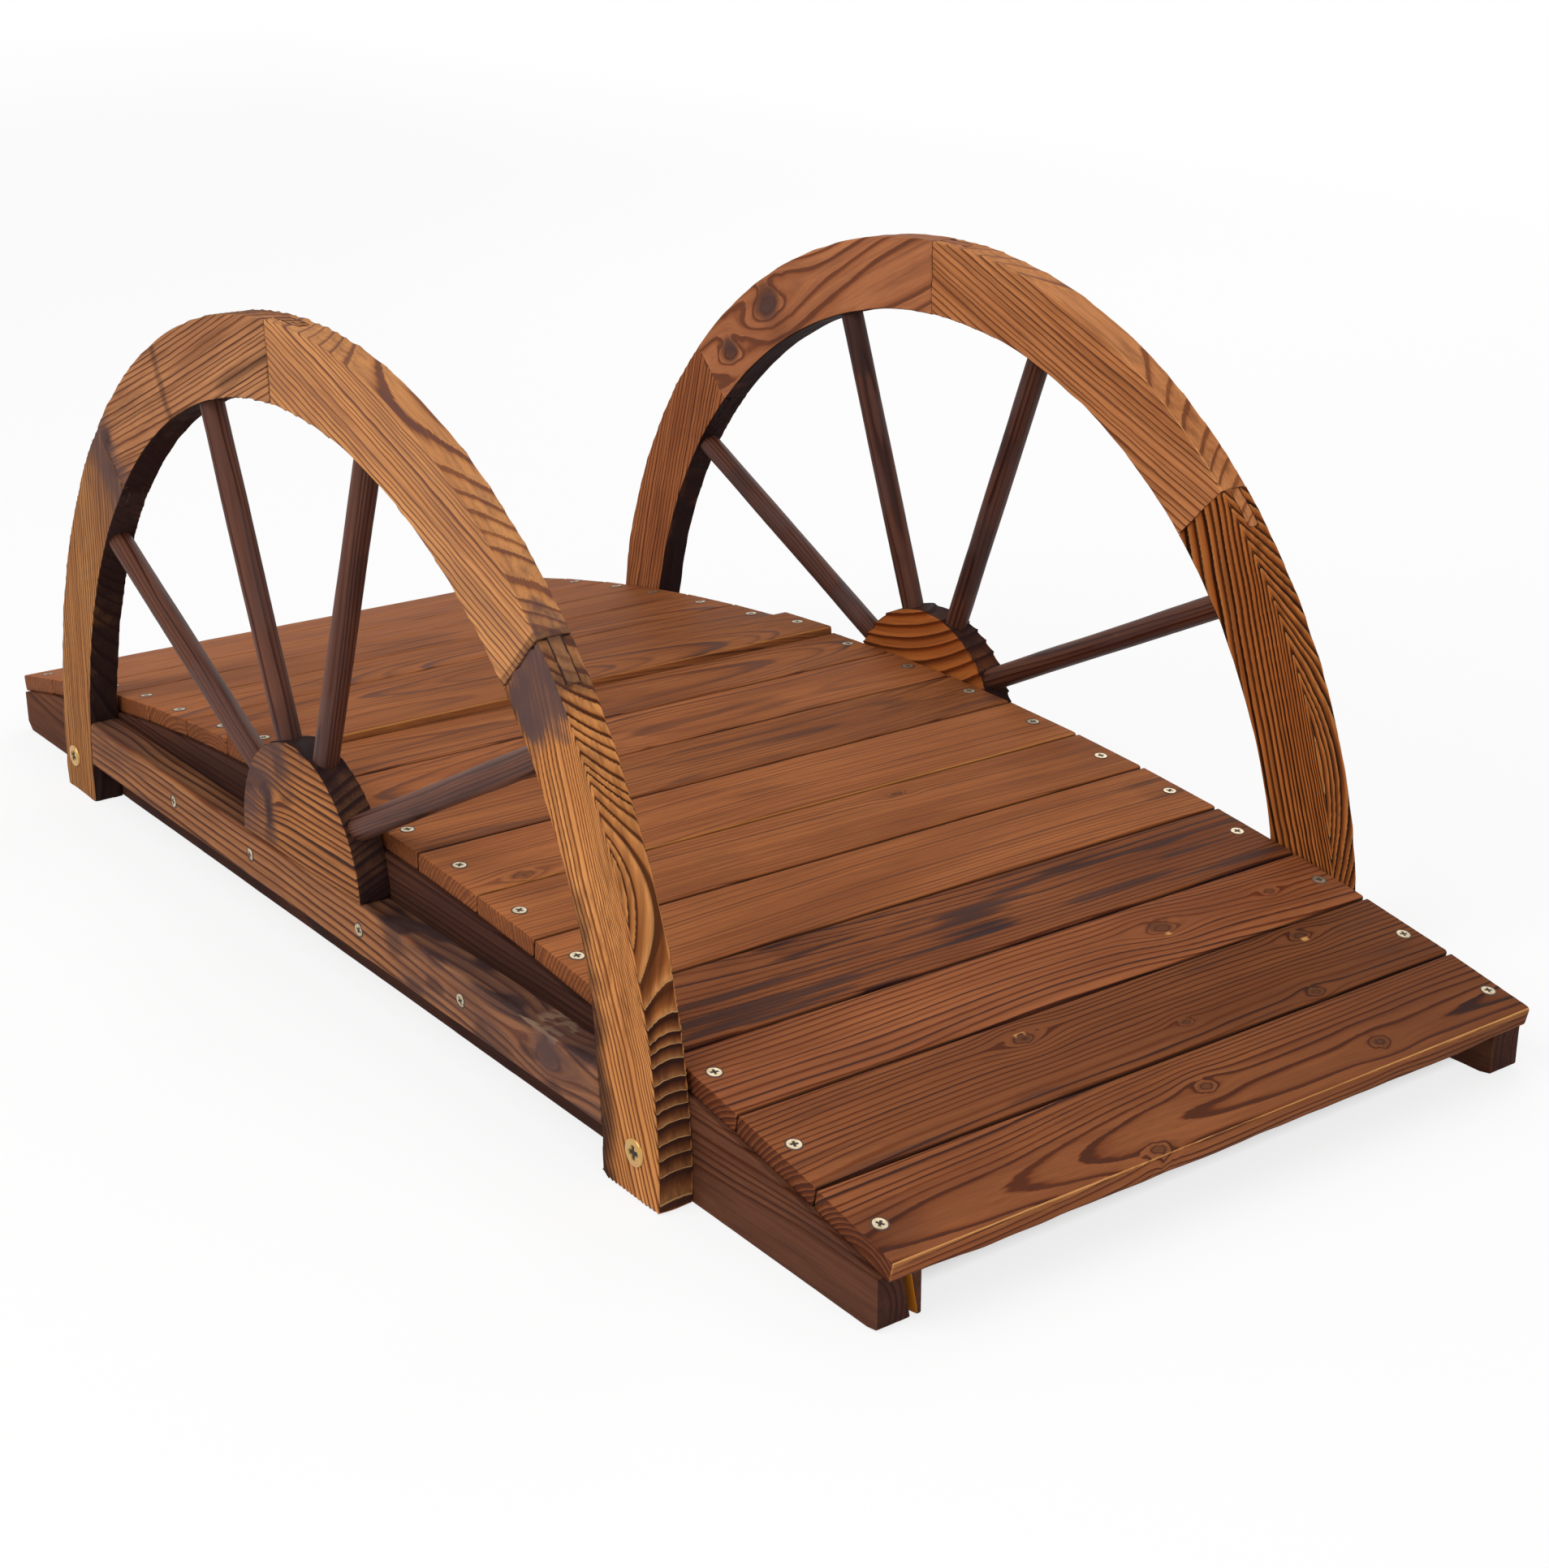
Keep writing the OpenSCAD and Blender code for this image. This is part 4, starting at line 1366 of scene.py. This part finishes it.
def small_material(name, color, tarnish, metallic, rough):
    """Speckled metal, also used for the dark wood round a head; where its mesh marks a recess, painted shade
    makes it dark, matte and not metallic.
    """
    material = bpy.data.materials.new(name)
    g = Graph(material)
    place = g.node("TexCoord").outputs["Object"]
    cloud = g.noise(place, (300, 300, 300), 3)
    fine = g.noise(place, (2500, 2500, 2500), 2)
    paint = g.mix(g.level(cloud, [(0.35, 0.0), (0.7, 1.0)]), color, tarnish)
    recess = g.attribute("recess", "Fac")
    g.put(g.mix(recess, paint, RECESS_SHADE_COLOR), g.shader.inputs["Base Color"])
    gloss = g.level(fine, [(0.3, rough[0]), (0.7, rough[1])])
    g.put(g.math("MAXIMUM", gloss, g.times(recess, 0.9)), g.shader.inputs["Roughness"])
    g.put(g.bump(fine, 0.15, 0.05 * MM), g.shader.inputs["Normal"])
    g.put(g.times(g.math("SUBTRACT", 1.0, recess), metallic), g.shader.inputs["Metallic"])
    return material


SCREW_METAL = small_material("screw_brass", rgb(0.60, 0.50, 0.35), rgb(0.42, 0.31, 0.17), 0.85, (0.28, 0.5))
FOOT_METAL = small_material("foot_brass", rgb(0.56, 0.35, 0.06), rgb(0.54, 0.27, 0.13), 0.55, (0.22, 0.4))
# Painted shadow ring: the dark wood round each screw head.
SEAT_SHADOW_RING = small_material(
    "crushed_wood", rgb(0.050, 0.022, 0.014), rgb(0.085, 0.036, 0.020), 0.0, (0.6, 0.8))

# Rings of points on a head, as shares of its radius
HEAD_RINGS = (0.0, 0.10, 0.20, 0.30, 0.40, 0.50, 0.60, 0.75, 0.90, 0.98, 1.0)
HEAD_SEGMENTS = 48
# Crushed wood round a head, coloured dark as a painted shadow ring: distance from its middle as a share of
# its radius, and height
SEAT_RINGS = ((0.94, -0.3 * MM), (1.05, 0.3 * MM), (1.15, 0.22 * MM), (1.28, -0.4 * MM))


def turned(place, normal, turn, rings):
    """Points and quads of rings about a normal; each ring is its radius and its height at each angle."""
    first = unit(np.cross(normal, [0.3, 0.5, 0.81]))
    second = np.cross(normal, first)
    angle = turn + np.linspace(0, 2 * math.pi, HEAD_SEGMENTS, endpoint=False)
    around = np.cos(angle)[:, None] * first + np.sin(angle)[:, None] * second
    points = []
    for radius, height in rings:
        points.append(place + radius * around + np.reshape(height, (-1, 1)) * normal)
    return np.concatenate(points), ring_quads(len(rings), HEAD_SEGMENTS)


def screw_head(place, normal, radius, turn, crown=0.15 * MM, cross=0.62, proud=0.1 * MM):
    """A round head with a cross recess; cross is the recess's reach. The last result is the recess."""
    angle = np.linspace(0, 2 * math.pi, HEAD_SEGMENTS, endpoint=False)
    floor = 0.1 * MM + 0.5 * proud
    rings = []
    recesses = []
    for share in HEAD_RINGS:
        u = np.abs(share * np.cos(angle))
        v = np.abs(share * np.sin(angle))
        arms = 1 - smooth(np.minimum(u, v), 0.16, 0.22)
        recess = arms * (1 - smooth(np.maximum(u, v), cross - 0.08, cross))
        top = proud + crown * (1 - share ** 2)
        rings.append((radius * share, top + recess * (floor - top)))
        recesses.append(recess)
    rings.append((radius, np.full(HEAD_SEGMENTS, -0.8 * MM)))
    recesses.append(np.zeros(HEAD_SEGMENTS))
    points, quads = turned(place, unit(normal), turn, rings)
    return points, quads, np.concatenate(recesses)


def screw_seat(place, normal, radius):
    """The raised, crushed wood round a head, coloured dark as a painted shadow ring."""
    points, quads = turned(place, unit(normal), 0, [(radius * share, height) for share, height in SEAT_RINGS])
    return points, quads, np.zeros(len(points))


def screw_piece(name, blocks, material):
    points, quads, recess = join_blocks(blocks)
    mesh = bpy.data.meshes.new(name)
    mesh.from_pydata(points.tolist(), [], quads.tolist())
    mesh.shade_smooth()
    new_attribute(mesh, "recess", "FLOAT", "value", recess)
    mesh.materials.append(material)
    return add_object(name, mesh)


def deck_screws():
    rng = np.random.default_rng(7)
    heads = []
    seats = []
    for number in range(1, PLANK_COUNT + 1):
        middle, wide, up, (width, thick) = plank_frame("deck_plank_%02d" % number)
        for y, row in ((NEAR_SCREW_Y, NEAR_SCREW_X), (FAR_SCREW_Y, FAR_SCREW_X)):
            along = (row[number - 1] * MM - middle[0]) / wide[0]
            place = middle + up * (thick / 2 + 0.1 * MM) + wide * along
            place = place + np.array([0, y + rng.uniform(-2, 2) * MM, 0])
            tilt = up + rng.uniform(-0.03, 0.03, 3)
            heads.append(screw_head(place, tilt, SCREW_R, rng.uniform(0, 3)))
            seats.append(screw_seat(place, up, SCREW_R))
    screw_piece("deck_screws", heads, SCREW_METAL)
    screw_piece("deck_screw_seats", seats, SEAT_SHADOW_RING)


RAIL_SCREW_Z = 53 * MM
# Places along the bridge of the rails' screws, and along it and up of the feet's, in mm
RAIL_SCREW_X = (-240.6, -102.5, 71.4, 213.7)
FOOT_SCREWS = ((422, 32), (-446.5, 31))


def side_screws():
    rng = np.random.default_rng(11)
    small = []
    large = []
    seats = []
    for side in (NEAR, FAR):
        face_y = side * (BEAM_OUTER_Y + RIM_THICK)
        for x in RAIL_SCREW_X:
            place = np.array([x * MM, face_y, RAIL_SCREW_Z])
            tilt = np.array([0, side, 0]) + rng.uniform(-0.1, 0.1, 3)
            small.append(screw_head(place, tilt, SCREW_R, rng.uniform(0, 3)))
            seats.append(screw_seat(place, (0, side, 0), SCREW_R))
        for x, z in FOOT_SCREWS:
            place = np.array([x * MM, face_y, z * MM])
            large.append(screw_head(place, (0, side, 0), FOOT_SCREW_R, rng.uniform(0, 3), **FOOT_HEAD))
    screw_piece("rail_screws", small, SCREW_METAL)
    screw_piece("rail_screw_seats", seats, SEAT_SHADOW_RING)
    screw_piece("foot_screws", large, FOOT_METAL)


# Stage

def make_camera():
    camera = bpy.data.objects.new("camera", bpy.data.cameras.new("camera"))
    bpy.context.scene.collection.objects.link(camera)
    camera.location = CAMERA_PLACE
    camera.rotation_euler = (CAMERA_TARGET - CAMERA_PLACE).to_track_quat("-Z", "Y").to_euler()
    camera.data.lens = CAMERA_LENS
    camera.data.sensor_width = CAMERA_SENSOR
    camera.data.clip_end = 100
    bpy.context.scene.camera = camera


FLOOR_SIZE = 40
FLOOR_DROP = 0.5 * MM
FLOOR_COLOR = rgb(0.92, 0.92, 0.92)
FLOOR_GLOW = 0.8
# Half length and half width of the floor under the deck, which has no glow, and how many times as far
# out the floor is as white as the sky
SHADED_FLOOR = (0.60, 0.265)
WHITE_FLOOR = 14


def seen_directly(tree):
    """1 for rays from the camera, and for what shows in metal and glass."""
    path = tree.nodes.new("ShaderNodeLightPath")
    total = path.outputs["Is Camera Ray"]
    for name in ("Is Glossy Ray", "Is Transmission Ray"):
        node = tree.nodes.new("ShaderNodeMath")
        node.operation = "MAXIMUM"
        tree.links.new(total, node.inputs[0])
        tree.links.new(path.outputs[name], node.inputs[1])
        total = node.outputs[0]
    return total


def make_floor():
    bpy.ops.mesh.primitive_plane_add(size=FLOOR_SIZE, location=(0, 0, -FLOOR_DROP))
    floor = bpy.context.object
    floor.name = "floor"
    material = bpy.data.materials.new("floor")
    g = Graph(material)
    g.shader.inputs["Base Color"].default_value = FLOOR_COLOR
    g.shader.inputs["Roughness"].default_value = 0.8
    apart = g.node("SeparateXYZ")
    g.put(g.node("TexCoord").outputs["Object"], apart.inputs[0])
    shares = []
    for axis, half in enumerate(SHADED_FLOOR):
        shares.append(g.math("DIVIDE", g.math("ABSOLUTE", apart.outputs[axis]), half))
    share = g.math("MAXIMUM", *shares)
    beside = g.level(share, [(0.92, 0.0), (1.0, 1.0)])
    white = g.level(g.math("DIVIDE", share, WHITE_FLOOR), [(0.2, FLOOR_GLOW), (1.0, 1.0)])
    glow = g.node("Emission")
    mixed = g.node("MixShader")
    g.put(g.times(seen_directly(g.tree), g.times(beside, white)), mixed.inputs[0])
    g.put(g.shader.outputs[0], mixed.inputs[1])
    g.put(glow.outputs[0], mixed.inputs[2])
    g.put(mixed.outputs[0], g.tree.nodes["Material Output"].inputs["Surface"])
    floor.data.materials.append(material)


WORLD_LIGHT = 0.55


def make_world():
    world = bpy.data.worlds.new("world")
    bpy.context.scene.world = world
    world.use_nodes = True
    tree = world.node_tree
    sky = tree.nodes["Background"]
    sky.inputs["Color"].default_value = rgb(1, 1, 1)
    strength = tree.nodes.new("ShaderNodeMapRange")
    strength.inputs["To Min"].default_value = WORLD_LIGHT
    strength.inputs["To Max"].default_value = 1.0
    tree.links.new(seen_directly(tree), strength.inputs["Value"])
    tree.links.new(strength.outputs[0], sky.inputs["Strength"])


# Lamps: place, size across and power
LAMPS = {
    "key": ((0.2, -2.6, 2.6), 2.4, 62),
    "back": ((-1.8, 2.4, 2.4), 2.4, 26),
    "fill": ((2.7, -0.5, 1.0), 2.0, 15),
}
LAMP_TARGET = (0, 0, 0.15)


def make_lamps():
    for name, (place, size, power) in LAMPS.items():
        lamp = bpy.data.objects.new(name, bpy.data.lights.new(name, "AREA"))
        bpy.context.scene.collection.objects.link(lamp)
        lamp.location = place
        lamp.rotation_euler = (Vector(LAMP_TARGET) - Vector(place)).to_track_quat("-Z", "Y").to_euler()
        lamp.data.shape = "DISK"
        lamp.data.size = size
        lamp.data.energy = power


def make_stage():
    make_camera()
    make_floor()
    make_world()
    make_lamps()
    bpy.context.scene.view_settings.view_transform = "Standard"


make_stage()
for plank_number in range(1, PLANK_COUNT + 1):
    plank(plank_number)
for side_word in SIDES:
    beam(side_word)
    rail(side_word)
    hub(side_word)
    for part_number in range(1, 5):
        felloe(side_word, part_number)
        spoke(side_word, part_number)
deck_screws()
side_screws()
